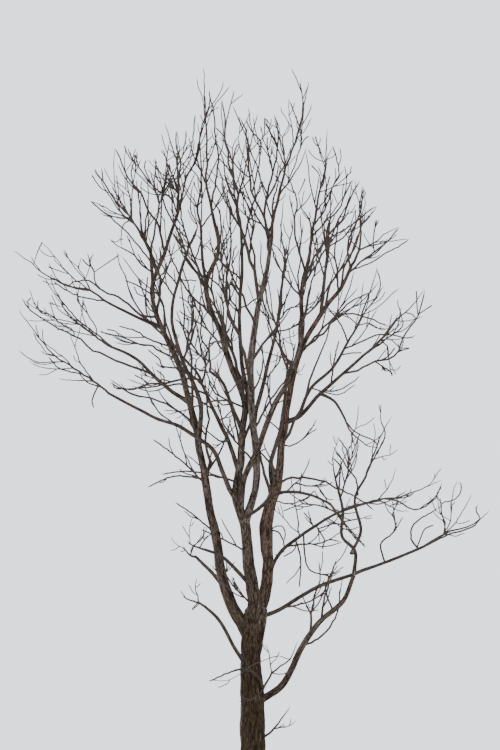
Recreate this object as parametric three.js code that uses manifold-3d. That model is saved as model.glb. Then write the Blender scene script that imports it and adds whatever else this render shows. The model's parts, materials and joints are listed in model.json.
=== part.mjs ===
// A bare broad-leaved tree, about 20 m tall and 13 m wide, cut flat at ground level.
// One trunk forks into three stems. They and their boughs are round tapering limbs, and each bough ends
// where it enters a mass of bare twigs. Every limb and every mass is a closed solid, 0.3 mm clear of what
// carries it.
//
// Millimetres, +Z up, +X to the right as the tree is seen from -Y. The origin is the middle of the flat cut
// under the trunk. The tables of limbs and masses are in metres: across (to the right of the trunk's axis),
// up (height, both as an eye in front of the tree sees them) and depth (behind the trunk's axis, away from
// that eye).

import * as THREE from 'three';
import Module from 'manifold-3d';

const METRE = 1000;
const CLEARANCE = 0.3; // between a piece and what carries it

// The eye in front of the tree, whose view the tables are read in
const VIEW_DISTANCE = 60000; // from the eye to the trunk's axis
const EYE_HEIGHT = 1600;
const GAZE_HEIGHT = 11700; // on the trunk's axis, where the middle of the view falls

// Trunk: height, half its width, half its depth and the lean of its axis to the right, all in metres
const TRUNK_STATIONS = [
  { up: 0, width: 0.36, depth: 0.36, across: 0.02 },
  { up: 0.35, width: 0.345, depth: 0.345, across: 0.02 },
  { up: 0.9, width: 0.335, depth: 0.33, across: 0.01 },
  { up: 1.8, width: 0.325, depth: 0.315, across: 0.01 },
  { up: 2.9, width: 0.31, depth: 0.3, across: 0 },
  { up: 3.9, width: 0.28, depth: 0.27, across: -0.05 },
  { up: 4.5, width: 0.29, depth: 0.26, across: 0 },
  { up: 5.0, width: 0.32, depth: 0.25, across: 0.08 },
  { up: 5.35, width: 0.27, depth: 0.21, across: 0.11 },
  { up: 5.5, width: 0.15, depth: 0.12, across: 0.12 },
];
const TRUNK_SIDES = 15;
const ROOT_FLARE = 0.2; // how far the root swellings stand out of the trunk at the ground, in metres
const ROOT_FLARE_HEIGHT = 0.42; // height over which they fade to a third
const ROOT_COUNT = 5;
const ROOT_SWAY = 0.6; // how unevenly the swellings are spread round the trunk
const ROOT_HOLLOW = 0.35; // how far the trunk flares between two swellings, as a share of a swelling

// Limbs
const LIMB_STEP = 0.85; // metres between two rings of a limb
const LIMB_STEPS_LEAST = 3;
const COLLAR_SWELL = 0.3; // a limb's base is wider than its taper by this share
const COLLAR_REACH = 2.5; // and that fades to a third over this many base radii
const THICK_LIMB = 0.12; // base radius above which a limb is thick, in metres
const THICK_SIDES = 10;
const MIDDLE_LIMB = 0.075; // base radius above which it is of middle size
const MIDDLE_SIDES = 8;
const THIN_SIDES = 6;
const PARENT_SAMPLES = 256; // places along a parent where a limb may start

// Twigs
const FORK_ANGLE = THREE.MathUtils.degToRad(36); // between a leader and the leader that it forks from
const FORK_FIRST = 0.06; // the forks of a mass lie between these shares of its stem
const FORK_LAST = 0.72;
const FORK_CROWDING = THREE.MathUtils.degToRad(15); // added to the gap of a node that has a fork already
const LEADER_STEP = 0.62; // metres between two nodes of a leader
const LEADER_STEPS_LEAST = 3;
const LEADER_STEPS_MOST = 8;
const LEADER_PULL = 0.75; // how strongly a leader keeps its first heading
const LEADER_RISE = 0.35; // how far its end turns up
const LEADER_CROOK = 0.13; // sideways shift of a node, as a share of the step
const FORK_TAPER = 0.72; // a fork's radius, as a share of its parent's there
const TIP_RADIUS = 0.009;
const TWIG_SIDES = 3;
const TWIG_TURN = THREE.MathUtils.degToRad(137.5); // from one side twig to the next round its leader
const TWIG_ANGLE_LEAST = THREE.MathUtils.degToRad(28);
const TWIG_ANGLE_SPREAD = THREE.MathUtils.degToRad(24);
const TWIG_LENGTH = 0.34; // as a share of the leader's length
const TWIG_LENGTH_SPREAD = 0.26;
const TWIG_LENGTH_MOST = 1.8;
const TWIG_SHORTENS = 0.5; // how much shorter the last twig of a leader is than its first
const TWIG_RISE = 0.5; // how far the outer half of a twig turns up
const TWIG_SHARE = 0.85; // share of the nodes that carry a side twig
const TWIG_TAPER = 0.65; // a twig's radius, as a share of its leader's there
const TWIG_WAIST = 0.6; // its radius halfway, as a share of its base
const TWIG_KEYS = 100; // a leader's side twigs are numbered from this on
const SPACE_MARGIN = 0.06; // metres that a twig keeps from the border of its mass's space
const SPACE_REACH = 0.4; // metres that the space reaches to each side past the mass's leaders
const LIMB_MARGIN = 0.05; // metres that a twig keeps from a limb

const BARK = { color: 0x4a403e, roughness: 0.95 };
const TWIG_BARK = { color: 0x3c3331, roughness: 0.9 };

// Each limb leaves the limb named in from at its path's first point, whose depth is its parent's there. The
// radii are spread evenly from its base to its tip.
const LIMBS = [
  {
    name: 'mid_leader', from: 'trunk',
    path: [[0.03, 4.9], [-0.01, 5.9, 0], [-0.14, 7.45, -0.1], [-0.44, 8.4, 0], [-0.3, 9.55, 0.2],
      [-0.22, 10.9, 0.3], [-0.7, 12.4, 0.3], [-1.25, 14.1, 0.4], [-0.92, 15.1, 0.5], [-1.12, 16.35, 0.4]],
    radii: [0.172, 0.155, 0.12, 0.09, 0.085, 0.075, 0.058, 0.04],
  },
  {
    name: 'right_leader', from: 'trunk',
    path: [[0.25, 4.9], [0.36, 6.0, 0.05], [0.44, 7.6, 0.2], [0.68, 8.75, 0.3], [0.82, 9.8, 0.4],
      [1.0, 10.9, 0.5], [1.33, 12.35, 0.6], [1.88, 13.35, 0.7], [2.42, 14.05, 0.8], [2.72, 14.7, 0.8]],
    radii: [0.14, 0.15, 0.175, 0.12, 0.09, 0.078, 0.072, 0.06, 0.042],
  },
  {
    name: 'left_leader', from: 'trunk',
    path: [[-0.3, 4.5], [-0.6, 5.6, 0.05], [-1.09, 7.8, 0.35], [-1.44, 9.75, 0.6], [-1.9, 11.7, 0.8],
      [-2.72, 13.85, 0.9], [-2.37, 15.05, 1.1], [-2.0, 16.15, 1.2]],
    radii: [0.17, 0.125, 0.098, 0.082, 0.062, 0.042],
  },
  {
    name: 'centre_leader', from: 'mid_leader',
    path: [[-0.11, 7.65], [0.11, 8.7, 0.12], [0.08, 9.55, 0.15], [0, 11.05, 0.05], [0, 12.3, 0],
      [0.22, 13.7, 0], [0.44, 14.7, 0], [0.54, 15.45, -0.1]],
    radii: [0.1, 0.1, 0.095, 0.075, 0.05],
  },
  {
    name: 'crossing_bough', from: 'mid_leader',
    path: [[-0.19, 8.05], [-0.24, 8.8, -0.35], [0.11, 9.6, -0.45], [0.54, 10.75, -0.7], [1.03, 11.65, -0.9],
      [1.36, 12.75, -1.1], [1.33, 13.8, -1.2], [1.58, 15.05, -1.2]],
    radii: [0.085, 0.075, 0.065, 0.045],
  },
  {
    name: 'low_right_bough', from: 'trunk',
    path: [[0.27, 2.7], [0.82, 3.25, -0.1], [1.36, 4.3, -0.2], [1.9, 5.05, -0.3], [2.5, 5.6, -0.4],
      [2.77, 6.25, -0.45]],
    radii: [0.1, 0.085, 0.07, 0.055],
  },
  {
    name: 'low_right_riser', from: 'low_right_bough',
    path: [[2.77, 6.25], [2.8, 6.9, -0.5], [2.45, 7.3, -0.8], [2.48, 8.0, -1.0], [2.34, 8.6, -1.2]],
    radii: [0.052, 0.034],
  },
  {
    name: 'low_right_outer', from: 'low_right_riser',
    path: [[2.8, 6.85], [2.96, 7.5, -0.1], [2.8, 8.3, 0.2], [3.1, 8.95, 0.4]],
    radii: [0.045, 0.032],
  },
  {
    name: 'far_right_bough', from: 'trunk',
    path: [[0.2, 5.05], [0.79, 5.35, 0.1], [1.8, 5.95, 0.2], [2.95, 6.35, 0.2], [3.9, 6.7, 0.2],
      [4.7, 7.05, 0.2]],
    radii: [0.058, 0.05, 0.036],
  },
  {
    name: 'lowest_left_bough', from: 'trunk',
    path: [[-0.1, 3.6], [-0.46, 4.25, -0.3], [-0.87, 5.0, -0.6], [-1.28, 5.4, -0.9]],
    radii: [0.06, 0.038],
  },
  {
    name: 'low_left_bough', from: 'left_leader',
    path: [[-0.65, 5.75], [-1.12, 6.35, 0.8], [-1.52, 6.75, 1.5]],
    radii: [0.062, 0.04],
  },
  {
    name: 'low_left_upper', from: 'mid_leader',
    path: [[-0.05, 5.95], [-0.44, 6.4, -0.5], [-0.84, 6.77, -1.0], [-1.28, 6.95, -1.5]],
    radii: [0.058, 0.036],
  },
  {
    name: 'right_flat_bough', from: 'right_leader',
    path: [[0.35, 5.8], [0.71, 6.8, 0.5], [1.31, 7.3, 0.9], [2.2, 7.9, 1.4], [2.9, 8.15, 1.7]],
    radii: [0.055, 0.034],
  },
  {
    name: 'right_slim_bough', from: 'mid_leader',
    path: [[-0.15, 7.8], [0.27, 8.15, -0.55], [0.71, 8.5, -0.9], [1.52, 8.45, -1.5], [2.12, 8.2, -2.0]],
    radii: [0.052, 0.032],
  },
  {
    name: 'back_bough', from: 'right_leader',
    path: [[0.6, 8.45], [0.52, 9.25, 1.0], [0.68, 9.85, 1.8], [0.84, 10.65, 2.5], [0.95, 11.65, 3.1]],
    radii: [0.07, 0.038],
  },
  {
    name: 'front_bough', from: 'mid_leader',
    path: [[-0.28, 10.1], [-0.54, 10.85, -0.9], [-0.82, 11.5, -1.8], [-1.14, 11.8, -2.6]],
    radii: [0.058, 0.036],
  },
  {
    name: 'inner_left_bough', from: 'mid_leader',
    path: [[-0.36, 9.1], [-0.65, 9.95, 0.7], [-1.06, 10.75, 1.5], [-1.33, 11.4, 2.1]],
    radii: [0.065, 0.045],
  },
  {
    name: 'left_sweeping_bough', from: 'mid_leader',
    path: [[-0.42, 8.3], [-0.65, 8.65, -0.25], [-1.03, 9.6, -0.6], [-1.9, 10.25, -1.1], [-2.77, 10.6, -1.4],
      [-3.9, 11.2, -1.5]],
    radii: [0.068, 0.05, 0.034],
  },
  {
    name: 'left_middle_bough', from: 'left_leader',
    path: [[-1.75, 10.9], [-2.5, 11.5, 1.1], [-3.16, 12.15, 1.5], [-3.9, 12.5, 1.8]],
    radii: [0.06, 0.034],
  },
  {
    name: 'left_inner_bough', from: 'left_leader',
    path: [[-1.46, 9.8], [-1.41, 10.9, 0.1], [-1.9, 12.15, -0.7], [-2.18, 13.2, -1.4], [-1.96, 14.45, -1.9],
      [-1.77, 15.0, -2.1]],
    radii: [0.07, 0.05, 0.035],
  },
  {
    name: 'left_reaching_bough', from: 'left_leader',
    path: [[-2.4, 13.0], [-3.2, 13.3, 0.7], [-3.97, 13.7, 0.5]],
    radii: [0.048, 0.032],
  },
  {
    name: 'left_outer_bough', from: 'left_leader',
    path: [[-2.72, 13.8], [-2.72, 14.45, 0.5], [-2.77, 15.05, 0.1], [-2.96, 15.45, -0.2]],
    radii: [0.055, 0.036],
  },
  {
    name: 'mid_left_bough', from: 'mid_leader',
    path: [[-1.22, 14.0], [-1.33, 14.8, -0.3], [-1.39, 15.7, -0.8]],
    radii: [0.05, 0.034],
  },
  {
    name: 'centre_left_bough', from: 'centre_leader',
    path: [[0, 10.6], [-0.19, 11.45, 0.6], [-0.35, 12.95, 1.0], [-0.27, 14.6, 1.3], [-0.3, 15.7, 1.5]],
    radii: [0.065, 0.036],
  },
  {
    name: 'centre_right_bough', from: 'centre_leader',
    path: [[0.02, 10.35], [0.27, 11.35, 0.8], [0.63, 12.8, 1.9], [0.84, 14.3, 2.7]],
    radii: [0.062, 0.036],
  },
  {
    name: 'right_middle_bough', from: 'right_leader',
    path: [[0.92, 10.4], [1.31, 10.6, 0.2], [1.85, 11.2, -0.3], [2.5, 11.75, -0.7], [3.05, 12.25, -0.9]],
    radii: [0.062, 0.036],
  },
  {
    name: 'right_rising_bough', from: 'right_middle_bough',
    path: [[1.31, 10.6], [1.63, 11.35, 0.7], [2.2, 11.9, 1.2], [2.61, 12.6, 1.6]],
    radii: [0.05, 0.034],
  },
  {
    name: 'right_drooping_bough', from: 'right_middle_bough',
    path: [[1.85, 11.2], [2.23, 11.0, -1.0], [2.53, 10.5, -1.7]],
    radii: [0.045, 0.03],
  },
  {
    name: 'right_upper_bough', from: 'right_leader',
    path: [[1.88, 13.35], [1.96, 14.1, 1.3], [2.04, 14.9, 1.7]],
    radii: [0.052, 0.035],
  },
];

// Each mass starts at the tip of the limb named in from, or at the trunk's side at the point named in base,
// and reaches the tips. The first tip ends its stem, and the others end the leaders that fork from it.
const MASSES = [
  {
    name: 'twigs_mid_top', from: 'mid_leader',
    tips: [[-1.31, 20.1, 0.2], [-1.1, 19.1, -0.4], [-0.95, 18.2, 0.9]],
  },
  {
    name: 'twigs_right_top', from: 'right_leader',
    tips: [[3.02, 16.85, 0.8], [4.03, 15.75, -0.3], [4.3, 15.4, 0.7], [3.4, 16.3, 1.6], [2.8, 17.05, 0.1]],
  },
  {
    name: 'twigs_left_top', from: 'left_leader',
    tips: [[-2.39, 18.6, 1.2], [-2.05, 18.35, 2.1], [-2.88, 17.6, 1.9], [-1.85, 16.9, 2.6],
      [-2.26, 17.5, 0.5]],
  },
  {
    name: 'twigs_centre_top', from: 'centre_leader',
    tips: [[1.55, 19.7, -0.2], [1.0, 19.25, 0.5], [0.33, 18.75, -0.6], [0.85, 17.6, 1.1],
      [1.5, 17.9, -0.9], [0.6, 18.8, 0.9]],
  },
  {
    name: 'twigs_crossing', from: 'crossing_bough',
    tips: [[2.04, 18.4, -1.0], [2.2, 17.95, -1.9], [1.25, 16.6, -2.3], [2.6, 16.7, -2.7],
      [2.5, 17.3, -0.7], [1.7, 18.2, -1.5]],
  },
  {
    name: 'twigs_low_right_riser', from: 'low_right_riser',
    tips: [[2.18, 9.5, -1.5], [2.88, 10.1, -0.8], [2.34, 10.05, -2.2]],
  },
  {
    name: 'twigs_low_right_outer', from: 'low_right_outer',
    tips: [[3.81, 10.6, 0.7], [3.3, 10.45, 1.3], [4.0, 9.7, 1.5]],
  },
  {
    name: 'twigs_far_right', from: 'far_right_bough',
    tips: [[6.5, 8.05, 0.2], [6.0, 8.5, 0.9], [5.03, 8.45, -0.8], [5.58, 8.85, 1.5]],
  },
  {
    name: 'twigs_lowest_left', from: 'lowest_left_bough',
    tips: [[-1.9, 5.7, -1.5], [-1.5, 6.2, -1.9], [-1.6, 5.3, -2.2]],
  },
  {
    name: 'twigs_low_left', from: 'low_left_bough',
    tips: [[-1.88, 7.05, 2.4], [-1.2, 7.6, 3.0], [-2.2, 7.3, 3.2]],
  },
  {
    name: 'twigs_low_left_upper', from: 'low_left_upper',
    tips: [[-1.77, 7.2, -2.6], [-0.9, 7.7, -2.8], [-1.6, 7.9, -3.3]],
  },
  {
    name: 'twigs_right_flat', from: 'right_flat_bough',
    tips: [[5.18, 8.85, 2.0], [4.3, 8.0, 3.0], [3.9, 9.2, 2.9]],
  },
  {
    name: 'twigs_right_slim', from: 'right_slim_bough',
    tips: [[2.9, 7.2, -2.9], [2.7, 8.4, -3.4], [3.3, 7.9, -3.1]],
  },
  {
    name: 'twigs_back', from: 'back_bough',
    tips: [[0.63, 13.5, 4.4], [1.31, 12.9, 5.0], [0.1, 12.4, 4.9], [1.4, 11.7, 5.3]],
  },
  {
    name: 'twigs_front', from: 'front_bough',
    tips: [[-0.9, 13.4, -4.4], [-1.6, 12.4, -4.1], [-0.3, 12.8, -4.7], [-1.4, 11.9, -5.2]],
  },
  {
    name: 'twigs_inner_left', from: 'inner_left_bough',
    tips: [[-3.78, 11.35, 3.2], [-2.2, 12.95, 3.9], [-3.0, 11.9, 4.5], [-1.2, 12.6, 4.3]],
  },
  {
    name: 'twigs_left_sweeping', from: 'left_sweeping_bough',
    tips: [[-6.36, 13.5, -0.9], [-5.95, 12.85, -2.0], [-5.0, 12.9, -2.8], [-5.3, 11.6, -1.9]],
  },
  {
    name: 'twigs_left_middle', from: 'left_middle_bough',
    tips: [[-5.4, 13.95, 2.2], [-6.28, 13.8, 1.2], [-5.8, 13.25, 2.6], [-4.75, 13.85, 3.0]],
  },
  {
    name: 'twigs_left_inner', from: 'left_inner_bough',
    tips: [[-1.5, 15.7, -2.7], [-2.05, 15.7, -3.1], [-2.4, 14.9, -3.7], [-1.2, 15.2, -3.6]],
  },
  {
    name: 'twigs_left_reaching', from: 'left_reaching_bough',
    tips: [[-6.55, 15.1, 0], [-5.75, 15.35, -0.7], [-4.65, 14.9, -1.4], [-5.4, 14.3, 1.1]],
  },
  {
    name: 'twigs_left_outer', from: 'left_outer_bough',
    tips: [[-4.32, 17.35, 0.2], [-3.75, 17.9, 0.4], [-3.13, 17.7, -1.2], [-4.41, 16.45, -0.9],
      [-3.55, 15.2, -1.3], [-3.45, 17.95, -0.5]],
  },
  {
    name: 'twigs_mid_left', from: 'mid_left_bough',
    tips: [[-1.5, 18.6, -1.1], [-1.85, 16.9, -1.6], [-1.1, 17.0, -2.1], [-2.1, 17.7, -0.7]],
  },
  {
    name: 'twigs_centre_left', from: 'centre_left_bough',
    tips: [[-0.82, 19.2, 1.5], [-0.33, 18.75, 2.3], [0.33, 18.2, 2.7], [-0.9, 17.2, 2.9]],
  },
  {
    name: 'twigs_centre_right', from: 'centre_right_bough',
    tips: [[0.87, 16.5, 3.5], [0.27, 15.8, 4.1], [1.31, 15.5, 4.0]],
  },
  {
    name: 'twigs_right_middle', from: 'right_middle_bough',
    tips: [[4.7, 14.05, -0.2], [4.1, 13.2, -1.0], [4.3, 12.45, -1.9], [3.8, 11.65, -2.4]],
  },
  {
    name: 'twigs_right_rising', from: 'right_rising_bough',
    tips: [[3.4, 14.65, 1.9], [2.0, 13.55, 2.7], [3.75, 13.0, 3.0]],
  },
  {
    name: 'twigs_right_drooping', from: 'right_drooping_bough',
    tips: [[3.43, 9.7, -2.7], [2.9, 10.9, -3.3], [2.6, 9.7, -2.6]],
  },
  {
    name: 'twigs_right_upper', from: 'right_upper_bough',
    tips: [[2.75, 17.0, 2.2], [2.01, 16.2, 2.0], [2.5, 15.7, 3.1], [1.6, 15.3, 3.0]],
  },
  {
    name: 'twigs_trunk_middle', from: 'trunk', base: [0.27, 3.1, -0.14], radius: 0.035,
    tips: [[1.25, 4.5, -0.7], [0.35, 4.4, -1.1], [-1.2, 3.4, -1.0]],
  },
  {
    name: 'twigs_trunk_low', from: 'trunk', base: [0.32, 1.85, 0.05], radius: 0.035,
    tips: [[1.05, 2.7, 0.3], [1.2, 2.3, 0.9]],
  },
];

const UP = new THREE.Vector3(0, 0, 1);
const EYE = new THREE.Vector3(0, -VIEW_DISTANCE, EYE_HEIGHT);
const GAZE_TILT = Math.atan2(GAZE_HEIGHT - EYE_HEIGHT, VIEW_DISTANCE);
const GAZE_LENGTH = VIEW_DISTANCE / Math.cos(GAZE_TILT);
const GAZE = new THREE.Vector3(0, Math.cos(GAZE_TILT), Math.sin(GAZE_TILT));
const GAZE_UP = new THREE.Vector3(0, -Math.sin(GAZE_TILT), Math.cos(GAZE_TILT));

const wasm = await Module();
wasm.setup();

/** The point at a depth behind the trunk's axis that the eye sees at across and up, all three in metres. */
function seen([across, up, depth]) {
  const ray = GAZE.clone().multiplyScalar(GAZE_LENGTH);
  ray.x += across * METRE;
  ray.addScaledVector(GAZE_UP, up * METRE - GAZE_HEIGHT);
  ray.multiplyScalar((VIEW_DISTANCE + depth * METRE) / ray.y);
  return ray.add(EYE);
}

/** Where the eye sees a point: across and up, in metres. */
function viewOf(point) {
  const ray = point.clone().sub(EYE);
  const scale = GAZE_LENGTH / ray.dot(GAZE);
  return [ray.x * scale / METRE, (ray.dot(GAZE_UP) * scale + GAZE_HEIGHT) / METRE];
}

/** A number from 0 to 1 that depends on the two whole numbers alone: the crown grows alike each time. */
function chance(key, index) {
  let mixed = Math.imul(key ^ Math.imul(index + 1, 0x9e3779b1), 0x85ebca6b);
  mixed ^= mixed >>> 13;
  mixed = Math.imul(mixed, 0xc2b2ae35);
  mixed ^= mixed >>> 16;
  return (mixed >>> 0) / 2 ** 32;
}

/** The key of the twig numbered index on the leader whose key is given. */
function keyOf(key, index) {
  return Math.imul(key ^ (index + 1), 0x01000193) >>> 0;
}

/** A point along a line of points, at a share of its steps. */
function pointOn(line, share) {
  const at = share * (line.length - 1);
  const step = Math.min(Math.floor(at), line.length - 2);
  return line[step].clone().lerp(line[step + 1], at - step);
}

/** A value read from a list that is spread evenly from share 0 to share 1. */
function spread(values, share) {
  const at = share * (values.length - 1);
  const step = Math.min(Math.floor(at), values.length - 2);
  return THREE.MathUtils.lerp(values[step], values[step + 1], at - step);
}

/** The direction of each point of a line: the mean of the steps on both sides of it. */
function headings(line) {
  return line.map((point, i) => {
    const before = line[Math.max(i - 1, 0)];
    const after = line[Math.min(i + 1, line.length - 1)];
    return after.clone().sub(before).normalize();
  });
}

/** One unit vector square to each heading, turned from ring to ring as little as the line's bends allow. */
function sideways(directions) {
  const first = Math.abs(directions[0].x) < 0.9 ? new THREE.Vector3(1, 0, 0) : new THREE.Vector3(0, 1, 0);
  let side = first.addScaledVector(directions[0], -first.dot(directions[0])).normalize();
  return directions.map((direction) => {
    side = side.clone().addScaledVector(direction, -side.dot(direction)).normalize();
    return side;
  });
}

/** A closed solid from rings of points, each one turn round, with flat ends or, at its end, a point. */
function lofted(rings, apex) {
  const sides = rings[0].length;
  const points = rings.flat();
  const triangles = [];
  for (let ring = 0; ring + 1 < rings.length; ring++) {
    for (let side = 0; side < sides; side++) {
      const a = ring * sides + side;
      const b = ring * sides + (side + 1) % sides;
      triangles.push([a, b, b + sides], [a, b + sides, a + sides]);
    }
  }
  for (let side = 1; side + 1 < sides; side++) {
    triangles.push([0, side + 1, side]);
  }
  const last = (rings.length - 1) * sides;
  if (apex) {
    points.push(apex);
    for (let side = 0; side < sides; side++) {
      triangles.push([last + side, last + (side + 1) % sides, points.length - 1]);
    }
  } else {
    for (let side = 1; side + 1 < sides; side++) {
      triangles.push([last, last + side, last + side + 1]);
    }
  }
  const vertProperties = new Float32Array(points.flatMap((point) => point.toArray()));
  const triVerts = new Uint32Array(triangles.flat());
  return new wasm.Manifold(new wasm.Mesh({ numProp: 3, vertProperties, triVerts }));
}

/** A round limb along a line of points, with a radius at each. If pointed, it ends in a point. */
function limbSolid(line, radii, sides, pointed, heading) {
  const directions = headings(line);
  directions[0] = heading ?? directions[0];
  const sideVectors = sideways(directions);
  const rings = line.map((point, i) => {
    const across = sideVectors[i];
    const along = directions[i].clone().cross(across);
    return Array.from({ length: sides }, (_, side) => {
      const turn = 2 * Math.PI * side / sides;
      return point.clone()
        .addScaledVector(across, radii[i] * Math.cos(turn))
        .addScaledVector(along, radii[i] * Math.sin(turn));
    });
  });
  return pointed ? lofted(rings.slice(0, -1), line.at(-1)) : lofted(rings);
}

/** How far the root swellings stand out of the trunk at a height and a turn round it, in metres. */
function flareAt(up, turn) {
  const lobes = (1 + Math.cos(ROOT_COUNT * turn + ROOT_SWAY * Math.sin(2 * turn))) / 2;
  return ROOT_FLARE * Math.exp(-up / ROOT_FLARE_HEIGHT) * THREE.MathUtils.lerp(ROOT_HOLLOW, 1, lobes);
}

/** The trunk: level rings from the flat cut to the rounded fork. grown widens it on all sides. */
function trunkSolid(grown) {
  const rings = TRUNK_STATIONS.map(({ up, width, depth, across }, i) => {
    const above = i === TRUNK_STATIONS.length - 1 ? grown : 0;
    const below = i === 0 ? grown : 0;
    return Array.from({ length: TRUNK_SIDES }, (_, side) => {
      const turn = 2 * Math.PI * side / TRUNK_SIDES;
      const more = flareAt(up, turn) * METRE + grown;
      return new THREE.Vector3(
        across * METRE + (width * METRE + more) * Math.cos(turn),
        (depth * METRE + more) * Math.sin(turn),
        up * METRE + above - below,
      );
    });
  });
  return lofted(rings);
}

/** How many sides a limb has, by its base radius in metres. */
function sidesOf(radius) {
  if (radius > THICK_LIMB) return THICK_SIDES;
  return radius > MIDDLE_LIMB ? MIDDLE_SIDES : THIN_SIDES;
}

/** A limb's ring centres, radii and sides, from its row in the table and its parent's line. */
function limbLine({ path, radii }, parentLine) {
  const [baseAcross, baseUp] = path[0];
  let nearest = null;
  let nearestGap = Infinity;
  for (let sample = 0; sample <= PARENT_SAMPLES; sample++) {
    const point = pointOn(parentLine, sample / PARENT_SAMPLES);
    const [across, up] = viewOf(point);
    const gap = Math.hypot(across - baseAcross, up - baseUp);
    if (gap < nearestGap) {
      nearest = point;
      nearestGap = gap;
    }
  }
  const curve = new THREE.CatmullRomCurve3([nearest, ...path.slice(1).map(seen)], false, 'centripetal');
  const length = curve.getLength();
  const steps = Math.max(LIMB_STEPS_LEAST, Math.round(length / (LIMB_STEP * METRE)));
  const line = curve.getSpacedPoints(steps);
  const collar = COLLAR_REACH * radii[0] * METRE;
  const widths = line.map((_, i) => {
    const swell = 1 + COLLAR_SWELL * Math.exp(-i / steps * length / collar);
    return spread(radii, i / steps) * METRE * swell;
  });
  return { line, radii: widths, sides: sidesOf(radii[0]) };
}

/** The largest connected body of a solid. */
function largest(solid) {
  const bodies = solid.decompose();
  return bodies.reduce((best, body) => (body.volume() > best.volume() ? body : best));
}

/** A leader's nodes: it sets off along heading and ends at tip, its end turned up, with seeded crooks. */
function leaderLine(start, heading, tip, key) {
  const chord = tip.clone().sub(start);
  const length = chord.length();
  const steps = THREE.MathUtils.clamp(
    Math.round(length / (LEADER_STEP * METRE)), LEADER_STEPS_LEAST, LEADER_STEPS_MOST);
  const leave = heading.clone().multiplyScalar(LEADER_PULL * length);
  const arrive = chord.clone().multiplyScalar((1 - LEADER_RISE) / length).addScaledVector(UP, LEADER_RISE)
    .normalize().multiplyScalar(LEADER_PULL * length);
  const crook = LEADER_CROOK * length / steps;
  return Array.from({ length: steps + 1 }, (_, i) => {
    const t = i / steps;
    const point = start.clone().multiplyScalar((1 + 2 * t) * (1 - t) ** 2)
      .addScaledVector(leave, t * (1 - t) ** 2)
      .addScaledVector(tip, t * t * (3 - 2 * t))
      .addScaledVector(arrive, t * t * (t - 1));
    if (i > 0 && i < steps) {
      point.x += crook * (2 * chance(key, 3 * i) - 1);
      point.y += crook * (2 * chance(key, 3 * i + 1) - 1);
      point.z += crook * (2 * chance(key, 3 * i + 2) - 1);
    }
    return point;
  });
}

/** The node of a stem where a leader to tip comes nearest to the fork angle, best one with no fork yet. */
function forkNode(stem, directions, tip, forked) {
  let best = 1;
  let bestGap = Infinity;
  for (let i = 1; i < stem.length - 1; i++) {
    const share = i / (stem.length - 1);
    if (share < FORK_FIRST || share > FORK_LAST) continue;
    const off = Math.abs(directions[i].angleTo(tip.clone().sub(stem[i])) - FORK_ANGLE);
    const gap = off + (forked.includes(i) ? FORK_CROWDING : 0);
    if (gap < bestGap) {
      best = i;
      bestGap = gap;
    }
  }
  return best;
}

/** A mass's leaders: its stem to the first tip, and a leader that forks from it to each of the others. */
function leadersOf(mass, number, start, heading, radius) {
  const key = keyOf(number + 1, 0);
  const [first, ...others] = mass.tips.map(seen);
  const tipRadius = TIP_RADIUS * METRE;
  const taper = (line, base) =>
    line.map((_, i) => THREE.MathUtils.lerp(base, tipRadius, i / (line.length - 1)));
  const stem = leaderLine(start, heading, first, key);
  const stemRadii = taper(stem, radius);
  const stemDirections = headings(stem);
  const leaders = [{ line: stem, radii: stemRadii, key, heading }];
  const forked = [];
  others.forEach((tip, i) => {
    const node = forkNode(stem, stemDirections, tip, forked);
    forked.push(node);
    const leaderKey = keyOf(key, i + 1);
    const toTip = tip.clone().sub(stem[node]).normalize();
    const line = leaderLine(stem[node], toTip.add(stemDirections[node]).normalize(), tip, leaderKey);
    leaders.push({ line, radii: taper(line, stemRadii[node] * FORK_TAPER), key: leaderKey });
  });
  return leaders;
}

/** The distance from a point to a line of points. */
function gapToLine(point, line) {
  const piece = new THREE.Line3();
  const nearest = new THREE.Vector3();
  let gap = Infinity;
  for (let i = 0; i + 1 < line.length; i++) {
    piece.set(line[i], line[i + 1]).closestPointToPoint(point, true, nearest);
    gap = Math.min(gap, nearest.distanceTo(point));
  }
  return gap;
}

/**
 * Whether a twig's points are in its mass's space and clear of the limbs. The space is the box round the
 * mass's leaders, widened sideways, where that is nearer to them than to any other mass's leaders.
 */
function fits(points, own, others, limbs) {
  const box = new THREE.Box3().setFromPoints(own.flatMap(({ line }) => line));
  box.expandByVector(new THREE.Vector3(1, 1, 0).multiplyScalar(SPACE_REACH * METRE));
  return points.every((point) => {
    if (!box.containsPoint(point)) return false;
    const ownGap = Math.min(...own.map(({ line }) => gapToLine(point, line)));
    const apart = ownGap + 2 * SPACE_MARGIN * METRE;
    if (others.some(({ line }) => gapToLine(point, line) <= apart)) return false;
    return limbs.every(({ line, radii }) => gapToLine(point, line) > radii[0] + LIMB_MARGIN * METRE);
  });
}

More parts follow.
